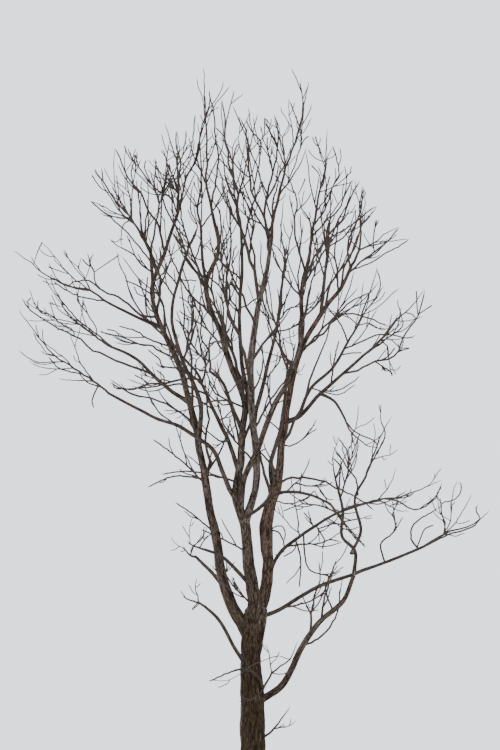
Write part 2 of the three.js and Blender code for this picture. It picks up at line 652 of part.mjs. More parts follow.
/** The side twigs of a leader, at most of its nodes, turned round it by the same angle each time. */
function twigsOf(leader, fitsHere) {
  const { line, radii, key } = leader;
  const directions = headings(line);
  const sideVectors = sideways(directions);
  const steps = line.length - 1;
  const leaderLength = line.slice(1).reduce((sum, point, i) => sum + point.distanceTo(line[i]), 0);
  const twigs = [];
  for (let i = 1; i < steps; i++) {
    const twigKey = keyOf(key, TWIG_KEYS + i);
    if (chance(twigKey, 0) > TWIG_SHARE) continue;
    const angle = TWIG_ANGLE_LEAST + TWIG_ANGLE_SPREAD * chance(twigKey, 1);
    const turn = TWIG_TURN * i + 2 * Math.PI * chance(key, 0);
    const share = TWIG_LENGTH + TWIG_LENGTH_SPREAD * chance(twigKey, 2);
    const wanted = share * (1 - TWIG_SHORTENS * i / steps) * leaderLength;
    const length = Math.min(wanted, TWIG_LENGTH_MOST * METRE);
    const across = sideVectors[i];
    const along = directions[i].clone().cross(across);
    const heading = directions[i].clone().multiplyScalar(Math.cos(angle))
      .addScaledVector(across, Math.sin(angle) * Math.cos(turn))
      .addScaledVector(along, Math.sin(angle) * Math.sin(turn));
    const middle = line[i].clone().addScaledVector(heading, length / 2);
    const outer = heading.clone().addScaledVector(UP, TWIG_RISE).normalize();
    const end = middle.clone().addScaledVector(outer, length / 2);
    if (!fitsHere([middle, end])) continue;
    const base = radii[i] * TWIG_TAPER;
    twigs.push({ line: [line[i], middle, end], radii: [base, base * TWIG_WAIST, 0] });
  }
  return twigs;
}

/** A mass as one solid: its leaders and side twigs, pointed and joined. grown widens them. */
function massSolid(leaders, twigs, grown) {
  const tubes = [...leaders, ...twigs].map(({ line, radii, heading }) =>
    limbSolid(line, radii.map((radius) => radius + grown), TWIG_SIDES, true, heading));
  return tubes.reduce((joined, tube) => joined.add(tube));
}

/** A mesh of a solid, with its own material. */
function meshOf(name, solid, { color, roughness }) {
  const { numProp, vertProperties, triVerts } = solid.getMesh();
  const geometry = new THREE.BufferGeometry();
  const positions = new THREE.InterleavedBuffer(vertProperties, numProp);
  geometry.setAttribute('position', new THREE.InterleavedBufferAttribute(positions, 3, 0));
  geometry.setIndex(new THREE.BufferAttribute(triVerts, 1));
  const mesh = new THREE.Mesh(geometry, new THREE.MeshStandardMaterial({ color, roughness, metalness: 0 }));
  mesh.name = name;
  return mesh;
}

/** Whether the boxes round two solids overlap. */
function boxesMeet(one, other) {
  const a = one.boundingBox();
  const b = other.boundingBox();
  return [0, 1, 2].every((axis) => a.min[axis] <= b.max[axis] && b.min[axis] <= a.max[axis]);
}

/** A solid cut clear of every grown solid that it meets. */
function cutClear(solid, grownSolids) {
  const met = grownSolids.filter((other) => boxesMeet(solid, other));
  const clear = met.reduce((left, other) => left.subtract(other), solid);
  return largest(clear);
}

/** The whole tree. */
function makeTree() {
  const tree = new THREE.Group();
  tree.add(meshOf('trunk', trunkSolid(0), BARK));
  const grown = [trunkSolid(CLEARANCE)];
  const stations = TRUNK_STATIONS.slice(0, -1);
  const lines = {
    trunk: {
      line: stations.map(({ up, across }) => new THREE.Vector3(across, 0, up).multiplyScalar(METRE)),
      radii: stations.map(({ width }) => width * METRE),
    },
  };
  for (const limb of LIMBS) {
    const { line, radii, sides } = limbLine(limb, lines[limb.from].line);
    lines[limb.name] = { line, radii };
    tree.add(meshOf(limb.name, cutClear(limbSolid(line, radii, sides, false), grown), BARK));
    const beyond = line.at(-1).clone().addScaledVector(headings(line).at(-1), CLEARANCE);
    const wider = radii.map((radius) => radius + CLEARANCE);
    grown.push(limbSolid([...line.slice(0, -1), beyond], wider, sides, false));
  }

  const crown = MASSES.map((mass, number) => {
    const { line, radii } = lines[mass.from];
    if (mass.from === 'trunk') {
      const base = seen(mass.base);
      const outward = seen(mass.tips[0]).sub(base).normalize();
      return leadersOf(mass, number, base, outward, mass.radius * METRE);
    }
    const outward = headings(line).at(-1);
    const start = line.at(-1).clone().addScaledVector(outward, CLEARANCE);
    return leadersOf(mass, number, start, outward, radii.at(-1));
  });
  const limbs = Object.values(lines);
  MASSES.forEach((mass, number) => {
    const own = crown[number];
    const others = crown.filter((_, i) => i !== number).flat();
    const twigs = own.flatMap((leader) => twigsOf(leader, (points) => fits(points, own, others, limbs)));
    tree.add(meshOf(mass.name, cutClear(massSolid(own, twigs, 0), grown), TWIG_BARK));
    grown.push(massSolid(own, twigs, CLEARANCE));
  });
  return tree;
}

const tree = makeTree();
export default tree;
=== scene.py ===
"""A bare broad-leaved tree, about 20 m tall, over a pale floor in soft studio light.

The trunk, the stems and the boughs get the relief of their bark, and side boughs grow along them. Each mass
of twigs grows again by the rule of its solid and is carried on to finer twigs. Everything is in metres, +Z is
up, +X is to the right as the tree is seen from -Y, and the origin is under the trunk at ground level.
"""

import functools
import itertools
import json
import math
from typing import NamedTuple

import bpy
import numpy as np
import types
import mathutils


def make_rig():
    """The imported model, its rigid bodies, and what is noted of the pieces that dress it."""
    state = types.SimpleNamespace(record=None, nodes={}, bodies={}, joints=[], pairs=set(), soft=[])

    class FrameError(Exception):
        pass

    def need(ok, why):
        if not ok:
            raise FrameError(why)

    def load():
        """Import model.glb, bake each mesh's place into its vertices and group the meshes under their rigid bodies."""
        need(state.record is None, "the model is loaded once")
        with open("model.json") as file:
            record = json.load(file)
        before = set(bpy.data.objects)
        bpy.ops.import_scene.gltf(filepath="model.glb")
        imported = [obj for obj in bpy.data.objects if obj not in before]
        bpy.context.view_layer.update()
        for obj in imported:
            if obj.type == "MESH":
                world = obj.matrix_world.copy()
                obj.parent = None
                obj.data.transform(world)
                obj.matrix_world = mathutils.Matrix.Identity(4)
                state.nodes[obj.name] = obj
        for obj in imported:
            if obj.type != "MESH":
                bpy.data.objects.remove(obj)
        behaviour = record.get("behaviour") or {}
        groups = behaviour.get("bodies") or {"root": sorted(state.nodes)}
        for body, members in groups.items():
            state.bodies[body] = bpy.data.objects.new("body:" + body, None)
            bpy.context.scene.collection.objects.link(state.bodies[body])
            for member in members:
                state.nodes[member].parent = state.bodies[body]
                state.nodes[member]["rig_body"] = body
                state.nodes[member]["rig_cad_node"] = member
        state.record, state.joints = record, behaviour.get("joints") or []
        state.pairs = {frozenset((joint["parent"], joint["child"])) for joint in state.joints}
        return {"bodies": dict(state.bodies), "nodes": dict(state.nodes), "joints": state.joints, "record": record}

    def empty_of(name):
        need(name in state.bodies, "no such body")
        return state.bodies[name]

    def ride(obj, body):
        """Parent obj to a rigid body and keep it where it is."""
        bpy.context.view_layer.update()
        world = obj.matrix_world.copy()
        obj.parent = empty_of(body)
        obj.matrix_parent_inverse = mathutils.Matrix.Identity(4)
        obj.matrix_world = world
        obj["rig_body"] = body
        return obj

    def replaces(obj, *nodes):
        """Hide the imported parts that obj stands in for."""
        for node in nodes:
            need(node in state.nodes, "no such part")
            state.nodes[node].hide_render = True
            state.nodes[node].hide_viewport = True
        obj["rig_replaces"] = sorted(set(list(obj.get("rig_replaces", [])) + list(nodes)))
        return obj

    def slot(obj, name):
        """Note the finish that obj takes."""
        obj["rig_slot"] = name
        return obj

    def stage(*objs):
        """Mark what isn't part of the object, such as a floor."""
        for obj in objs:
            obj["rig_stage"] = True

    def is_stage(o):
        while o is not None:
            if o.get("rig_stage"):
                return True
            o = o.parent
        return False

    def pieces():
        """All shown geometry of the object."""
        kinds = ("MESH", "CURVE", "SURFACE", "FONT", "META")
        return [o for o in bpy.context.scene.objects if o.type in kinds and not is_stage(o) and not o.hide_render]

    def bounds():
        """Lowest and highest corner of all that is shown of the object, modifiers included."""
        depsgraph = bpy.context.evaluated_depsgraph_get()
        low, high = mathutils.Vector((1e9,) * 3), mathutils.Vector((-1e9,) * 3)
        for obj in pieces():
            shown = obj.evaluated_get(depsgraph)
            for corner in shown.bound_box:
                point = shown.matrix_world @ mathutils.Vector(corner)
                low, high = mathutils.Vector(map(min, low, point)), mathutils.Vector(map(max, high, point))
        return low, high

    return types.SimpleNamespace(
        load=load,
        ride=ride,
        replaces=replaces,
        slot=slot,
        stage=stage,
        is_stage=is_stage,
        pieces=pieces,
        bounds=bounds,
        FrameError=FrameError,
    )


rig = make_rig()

bl_info = {
    "name": "Bare tree",
    "version": (1, 0, 0),
    "blender": (4, 5, 0),
    "location": "3D View > Sidebar > Bare tree",
    "description": "Gives a bare tree its bark, its side boughs and its fine twigs",
    "category": "Object",
}

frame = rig.load()
CAD_LOW, CAD_HIGH = (np.array(corner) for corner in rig.bounds())
SIZE_FILE = "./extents.json"

# The eye in front of the tree. The tables give places as it sees them: across (to the right of the trunk's
# axis), up (height) and depth (behind the trunk's axis, away from the eye).
VIEW_DISTANCE = 60.0
EYE_HEIGHT = 1.6
GAZE_HEIGHT = 11.7
VIEW_ACROSS = -0.054  # the middle of the view, to the right of the trunk's axis
VIEW_TALL = 20.4  # how much of the tree's height the view takes in
EYE = np.array([0.0, -VIEW_DISTANCE, EYE_HEIGHT])
GAZE_TILT = math.atan2(GAZE_HEIGHT - EYE_HEIGHT, VIEW_DISTANCE)
GAZE_LENGTH = VIEW_DISTANCE / math.cos(GAZE_TILT)
GAZE = np.array([0.0, math.cos(GAZE_TILT), math.sin(GAZE_TILT)])
GAZE_UP = np.array([0.0, -math.sin(GAZE_TILT), math.cos(GAZE_TILT)])
SENSOR_WIDTH = 36.0  # millimetres
SIGHT_END = 400.0
UP = np.array([0.0, 0.0, 1.0])

# The trunk: height, half its width, half its depth, and how far its axis leans to the right
TRUNK_STATIONS = [
    (0.0, 0.36, 0.36, 0.02),
    (0.35, 0.345, 0.345, 0.02),
    (0.9, 0.335, 0.33, 0.01),
    (1.8, 0.325, 0.315, 0.01),
    (2.9, 0.31, 0.3, 0.0),
    (3.9, 0.28, 0.27, -0.05),
    (4.5, 0.29, 0.26, 0.0),
    (5.0, 0.32, 0.25, 0.08),
    (5.35, 0.27, 0.21, 0.11),
    (5.5, 0.15, 0.12, 0.12),
]
ROOT_FLARE = 0.2
ROOT_FLARE_HEIGHT = 0.42
ROOT_COUNT = 5
ROOT_SWAY = 0.6
ROOT_HOLLOW = 0.35

# How limbs are laid along their paths, by the rule of the solids
LIMB_STEP = 0.85
LIMB_STEPS_LEAST = 3
PARENT_SAMPLES = 256  # places along a parent where a limb may start
CURVE_SAMPLES = 201  # places along a curve where its length is taken
COLLAR_SWELL = 0.3
COLLAR_REACH = 2.5  # in radii of the limb's base

# Leaders and side twigs, by the rule of the solids
CLEARANCE = 0.0003
FORK_ANGLE = math.radians(36)
FORK_FIRST = 0.06
FORK_LAST = 0.72
FORK_CROWDING = math.radians(15)
LEADER_STEP = 0.62
LEADER_STEPS_LEAST = 3
LEADER_STEPS_MOST = 8
LEADER_PULL = 0.75
LEADER_RISE = 0.35
LEADER_CROOK = 0.13
FORK_TAPER = 0.72
TIP_RADIUS = 0.009
TWIG_TURN = math.radians(137.5)
SPACE_MARGIN = 0.06
SPACE_REACH = 0.4
LIMB_MARGIN = 0.05

# Each limb leaves the limb named second at its path's first point, whose depth is its parent's there. Its
# radii are spread evenly from its base to its tip.
LIMBS = [
    (
        "mid_leader", "trunk",
        [(0.03, 4.9), (-0.01, 5.9, 0), (-0.14, 7.45, -0.1), (-0.44, 8.4, 0), (-0.3, 9.55, 0.2),
         (-0.22, 10.9, 0.3), (-0.7, 12.4, 0.3), (-1.25, 14.1, 0.4), (-0.92, 15.1, 0.5), (-1.12, 16.35, 0.4)],
        (0.172, 0.155, 0.12, 0.09, 0.085, 0.075, 0.058, 0.04),
    ),
    (
        "right_leader", "trunk",
        [(0.25, 4.9), (0.36, 6.0, 0.05), (0.44, 7.6, 0.2), (0.68, 8.75, 0.3), (0.82, 9.8, 0.4),
         (1.0, 10.9, 0.5), (1.33, 12.35, 0.6), (1.88, 13.35, 0.7), (2.42, 14.05, 0.8), (2.72, 14.7, 0.8)],
        (0.14, 0.15, 0.175, 0.12, 0.09, 0.078, 0.072, 0.06, 0.042),
    ),
    (
        "left_leader", "trunk",
        [(-0.3, 4.5), (-0.6, 5.6, 0.05), (-1.09, 7.8, 0.35), (-1.44, 9.75, 0.6), (-1.9, 11.7, 0.8),
         (-2.72, 13.85, 0.9), (-2.37, 15.05, 1.1), (-2.0, 16.15, 1.2)],
        (0.17, 0.125, 0.098, 0.082, 0.062, 0.042),
    ),
    (
        "centre_leader", "mid_leader",
        [(-0.11, 7.65), (0.11, 8.7, 0.12), (0.08, 9.55, 0.15), (0, 11.05, 0.05), (0, 12.3, 0),
         (0.22, 13.7, 0), (0.44, 14.7, 0), (0.54, 15.45, -0.1)],
        (0.1, 0.1, 0.095, 0.075, 0.05),
    ),
    (
        "crossing_bough", "mid_leader",
        [(-0.19, 8.05), (-0.24, 8.8, -0.35), (0.11, 9.6, -0.45), (0.54, 10.75, -0.7), (1.03, 11.65, -0.9),
         (1.36, 12.75, -1.1), (1.33, 13.8, -1.2), (1.58, 15.05, -1.2)],
        (0.085, 0.075, 0.065, 0.045),
    ),
    (
        "low_right_bough", "trunk",
        [(0.27, 2.7), (0.82, 3.25, -0.1), (1.36, 4.3, -0.2), (1.9, 5.05, -0.3), (2.5, 5.6, -0.4),
         (2.77, 6.25, -0.45)],
        (0.1, 0.085, 0.07, 0.055),
    ),
    (
        "low_right_riser", "low_right_bough",
        [(2.77, 6.25), (2.8, 6.9, -0.5), (2.45, 7.3, -0.8), (2.48, 8.0, -1.0), (2.34, 8.6, -1.2)],
        (0.052, 0.034),
    ),
    (
        "low_right_outer", "low_right_riser",
        [(2.8, 6.85), (2.96, 7.5, -0.1), (2.8, 8.3, 0.2), (3.1, 8.95, 0.4)],
        (0.045, 0.032),
    ),
    (
        "far_right_bough", "trunk",
        [(0.2, 5.05), (0.79, 5.35, 0.1), (1.8, 5.95, 0.2), (2.95, 6.35, 0.2), (3.9, 6.7, 0.2),
         (4.7, 7.05, 0.2)],
        (0.058, 0.05, 0.036),
    ),
    (
        "lowest_left_bough", "trunk",
        [(-0.1, 3.6), (-0.46, 4.25, -0.3), (-0.87, 5.0, -0.6), (-1.28, 5.4, -0.9)],
        (0.06, 0.038),
    ),
    (
        "low_left_bough", "left_leader",
        [(-0.65, 5.75), (-1.12, 6.35, 0.8), (-1.52, 6.75, 1.5)],
        (0.062, 0.04),
    ),
    (
        "low_left_upper", "mid_leader",
        [(-0.05, 5.95), (-0.44, 6.4, -0.5), (-0.84, 6.77, -1.0), (-1.28, 6.95, -1.5)],
        (0.058, 0.036),
    ),
    (
        "right_flat_bough", "right_leader",
        [(0.35, 5.8), (0.71, 6.8, 0.5), (1.31, 7.3, 0.9), (2.2, 7.9, 1.4), (2.9, 8.15, 1.7)],
        (0.055, 0.034),
    ),
    (
        "right_slim_bough", "mid_leader",
        [(-0.15, 7.8), (0.27, 8.15, -0.55), (0.71, 8.5, -0.9), (1.52, 8.45, -1.5), (2.12, 8.2, -2.0)],
        (0.052, 0.032),
    ),
    (
        "back_bough", "right_leader",
        [(0.6, 8.45), (0.52, 9.25, 1.0), (0.68, 9.85, 1.8), (0.84, 10.65, 2.5), (0.95, 11.65, 3.1)],
        (0.07, 0.038),
    ),
    (
        "front_bough", "mid_leader",
        [(-0.28, 10.1), (-0.54, 10.85, -0.9), (-0.82, 11.5, -1.8), (-1.14, 11.8, -2.6)],
        (0.058, 0.036),
    ),
    (
        "inner_left_bough", "mid_leader",
        [(-0.36, 9.1), (-0.65, 9.95, 0.7), (-1.06, 10.75, 1.5), (-1.33, 11.4, 2.1)],
        (0.065, 0.045),
    ),
    (
        "left_sweeping_bough", "mid_leader",
        [(-0.42, 8.3), (-0.65, 8.65, -0.25), (-1.03, 9.6, -0.6), (-1.9, 10.25, -1.1), (-2.77, 10.6, -1.4),
         (-3.9, 11.2, -1.5)],
        (0.068, 0.05, 0.034),
    ),
    (
        "left_middle_bough", "left_leader",
        [(-1.75, 10.9), (-2.5, 11.5, 1.1), (-3.16, 12.15, 1.5), (-3.9, 12.5, 1.8)],
        (0.06, 0.034),
    ),
    (
        "left_inner_bough", "left_leader",
        [(-1.46, 9.8), (-1.41, 10.9, 0.1), (-1.9, 12.15, -0.7), (-2.18, 13.2, -1.4), (-1.96, 14.45, -1.9),
         (-1.77, 15.0, -2.1)],
        (0.07, 0.05, 0.035),
    ),
    (
        "left_reaching_bough", "left_leader",
        [(-2.4, 13.0), (-3.2, 13.3, 0.7), (-3.97, 13.7, 0.5)],
        (0.048, 0.032),
    ),
    (
        "left_outer_bough", "left_leader",
        [(-2.72, 13.8), (-2.72, 14.45, 0.5), (-2.77, 15.05, 0.1), (-2.96, 15.45, -0.2)],
        (0.055, 0.036),
    ),
    (
        "mid_left_bough", "mid_leader",
        [(-1.22, 14.0), (-1.33, 14.8, -0.3), (-1.39, 15.7, -0.8)],
        (0.05, 0.034),
    ),
    (
        "centre_left_bough", "centre_leader",
        [(0, 10.6), (-0.19, 11.45, 0.6), (-0.35, 12.95, 1.0), (-0.27, 14.6, 1.3), (-0.3, 15.7, 1.5)],
        (0.065, 0.036),
    ),
    (
        "centre_right_bough", "centre_leader",
        [(0.02, 10.35), (0.27, 11.35, 0.8), (0.63, 12.8, 1.9), (0.84, 14.3, 2.7)],
        (0.062, 0.036),
    ),
    (
        "right_middle_bough", "right_leader",
        [(0.92, 10.4), (1.31, 10.6, 0.2), (1.85, 11.2, -0.3), (2.5, 11.75, -0.7), (3.05, 12.25, -0.9)],
        (0.062, 0.036),
    ),
    (
        "right_rising_bough", "right_middle_bough",
        [(1.31, 10.6), (1.63, 11.35, 0.7), (2.2, 11.9, 1.2), (2.61, 12.6, 1.6)],
        (0.05, 0.034),
    ),
    (
        "right_drooping_bough", "right_middle_bough",
        [(1.85, 11.2), (2.23, 11.0, -1.0), (2.53, 10.5, -1.7)],
        (0.045, 0.03),
    ),
    (
        "right_upper_bough", "right_leader",
        [(1.88, 13.35), (1.96, 14.1, 1.3), (2.04, 14.9, 1.7)],
        (0.052, 0.035),
    ),
]

# Each mass starts at the tip of the limb named second, or at TRUNK_BASES, and reaches the tips. The first tip
# ends its stem, and the others end the leaders that fork from it.
MASSES = [
    ("twigs_mid_top", "mid_leader", [(-1.31, 20.1, 0.2), (-1.1, 19.1, -0.4), (-0.95, 18.2, 0.9)]),
    (
        "twigs_right_top", "right_leader",
        [(3.02, 16.85, 0.8), (4.03, 15.75, -0.3), (4.3, 15.4, 0.7), (3.4, 16.3, 1.6), (2.8, 17.05, 0.1)],
    ),
    (
        "twigs_left_top", "left_leader",
        [(-2.39, 18.6, 1.2), (-2.05, 18.35, 2.1), (-2.88, 17.6, 1.9), (-1.85, 16.9, 2.6), (-2.26, 17.5, 0.5)],
    ),
    (
        "twigs_centre_top", "centre_leader",
        [(1.55, 19.7, -0.2), (1.0, 19.25, 0.5), (0.33, 18.75, -0.6), (0.85, 17.6, 1.1), (1.5, 17.9, -0.9),
         (0.6, 18.8, 0.9)],
    ),
    (
        "twigs_crossing", "crossing_bough",
        [(2.04, 18.4, -1.0), (2.2, 17.95, -1.9), (1.25, 16.6, -2.3), (2.6, 16.7, -2.7), (2.5, 17.3, -0.7),
         (1.7, 18.2, -1.5)],
    ),
    (
        "twigs_low_right_riser", "low_right_riser",
        [(2.18, 9.5, -1.5), (2.88, 10.1, -0.8), (2.34, 10.05, -2.2)],
    ),
    ("twigs_low_right_outer", "low_right_outer", [(3.81, 10.6, 0.7), (3.3, 10.45, 1.3), (4.0, 9.7, 1.5)]),
    (
        "twigs_far_right", "far_right_bough",
        [(6.5, 8.05, 0.2), (6.0, 8.5, 0.9), (5.03, 8.45, -0.8), (5.58, 8.85, 1.5)],
    ),
    ("twigs_lowest_left", "lowest_left_bough", [(-1.9, 5.7, -1.5), (-1.5, 6.2, -1.9), (-1.6, 5.3, -2.2)]),
    ("twigs_low_left", "low_left_bough", [(-1.88, 7.05, 2.4), (-1.2, 7.6, 3.0), (-2.2, 7.3, 3.2)]),
    ("twigs_low_left_upper", "low_left_upper", [(-1.77, 7.2, -2.6), (-0.9, 7.7, -2.8), (-1.6, 7.9, -3.3)]),
    ("twigs_right_flat", "right_flat_bough", [(5.18, 8.85, 2.0), (4.3, 8.0, 3.0), (3.9, 9.2, 2.9)]),
    ("twigs_right_slim", "right_slim_bough", [(2.9, 7.2, -2.9), (2.7, 8.4, -3.4), (3.3, 7.9, -3.1)]),
    ("twigs_back", "back_bough", [(0.63, 13.5, 4.4), (1.31, 12.9, 5.0), (0.1, 12.4, 4.9), (1.4, 11.7, 5.3)]),
    (
        "twigs_front", "front_bough",
        [(-0.9, 13.4, -4.4), (-1.6, 12.4, -4.1), (-0.3, 12.8, -4.7), (-1.4, 11.9, -5.2)],
    ),
    (
        "twigs_inner_left", "inner_left_bough",
        [(-3.78, 11.35, 3.2), (-2.2, 12.95, 3.9), (-3.0, 11.9, 4.5), (-1.2, 12.6, 4.3)],
    ),
    (
        "twigs_left_sweeping", "left_sweeping_bough",
        [(-6.36, 13.5, -0.9), (-5.95, 12.85, -2.0), (-5.0, 12.9, -2.8), (-5.3, 11.6, -1.9)],
    ),
    (
        "twigs_left_middle", "left_middle_bough",
        [(-5.4, 13.95, 2.2), (-6.28, 13.8, 1.2), (-5.8, 13.25, 2.6), (-4.75, 13.85, 3.0)],
    ),
    (
        "twigs_left_inner", "left_inner_bough",
        [(-1.5, 15.7, -2.7), (-2.05, 15.7, -3.1), (-2.4, 14.9, -3.7), (-1.2, 15.2, -3.6)],
    ),
    (
        "twigs_left_reaching", "left_reaching_bough",
        [(-6.55, 15.1, 0), (-5.75, 15.35, -0.7), (-4.65, 14.9, -1.4), (-5.4, 14.3, 1.1)],
    ),
    (
        "twigs_left_outer", "left_outer_bough",
        [(-4.32, 17.35, 0.2), (-3.75, 17.9, 0.4), (-3.13, 17.7, -1.2), (-4.41, 16.45, -0.9),
         (-3.55, 15.2, -1.3), (-3.45, 17.95, -0.5)],
    ),
    (
        "twigs_mid_left", "mid_left_bough",
        [(-1.5, 18.6, -1.1), (-1.85, 16.9, -1.6), (-1.1, 17.0, -2.1), (-2.1, 17.7, -0.7)],
    ),
    (
        "twigs_centre_left", "centre_left_bough",
        [(-0.82, 19.2, 1.5), (-0.33, 18.75, 2.3), (0.33, 18.2, 2.7), (-0.9, 17.2, 2.9)],
    ),
    ("twigs_centre_right", "centre_right_bough", [(0.87, 16.5, 3.5), (0.27, 15.8, 4.1), (1.31, 15.5, 4.0)]),
    (
        "twigs_right_middle", "right_middle_bough",
        [(4.7, 14.05, -0.2), (4.1, 13.2, -1.0), (4.3, 12.45, -1.9), (3.8, 11.65, -2.4)],
    ),
    ("twigs_right_rising", "right_rising_bough", [(3.4, 14.65, 1.9), (2.0, 13.55, 2.7), (3.75, 13.0, 3.0)]),
    (
        "twigs_right_drooping", "right_drooping_bough",
        [(3.43, 9.7, -2.7), (2.9, 10.9, -3.3), (2.6, 9.7, -2.6)],
    ),
    (
        "twigs_right_upper", "right_upper_bough",
        [(2.75, 17.0, 2.2), (2.01, 16.2, 2.0), (2.5, 15.7, 3.1), (1.6, 15.3, 3.0)],
    ),
    ("twigs_trunk_middle", "trunk", [(1.25, 4.5, -0.7), (0.35, 4.4, -1.1), (-1.2, 3.4, -1.0)]),
    ("twigs_trunk_low", "trunk", [(1.05, 2.7, 0.3), (1.2, 2.3, 0.9)]),
]
# Where a mass leaves the trunk's own side, and the radius of its stem there
TRUNK_BASES = {"twigs_trunk_middle": (0.27, 3.1, -0.14), "twigs_trunk_low": (0.32, 1.85, 0.05)}
TRUNK_STEM_RADIUS = 0.035

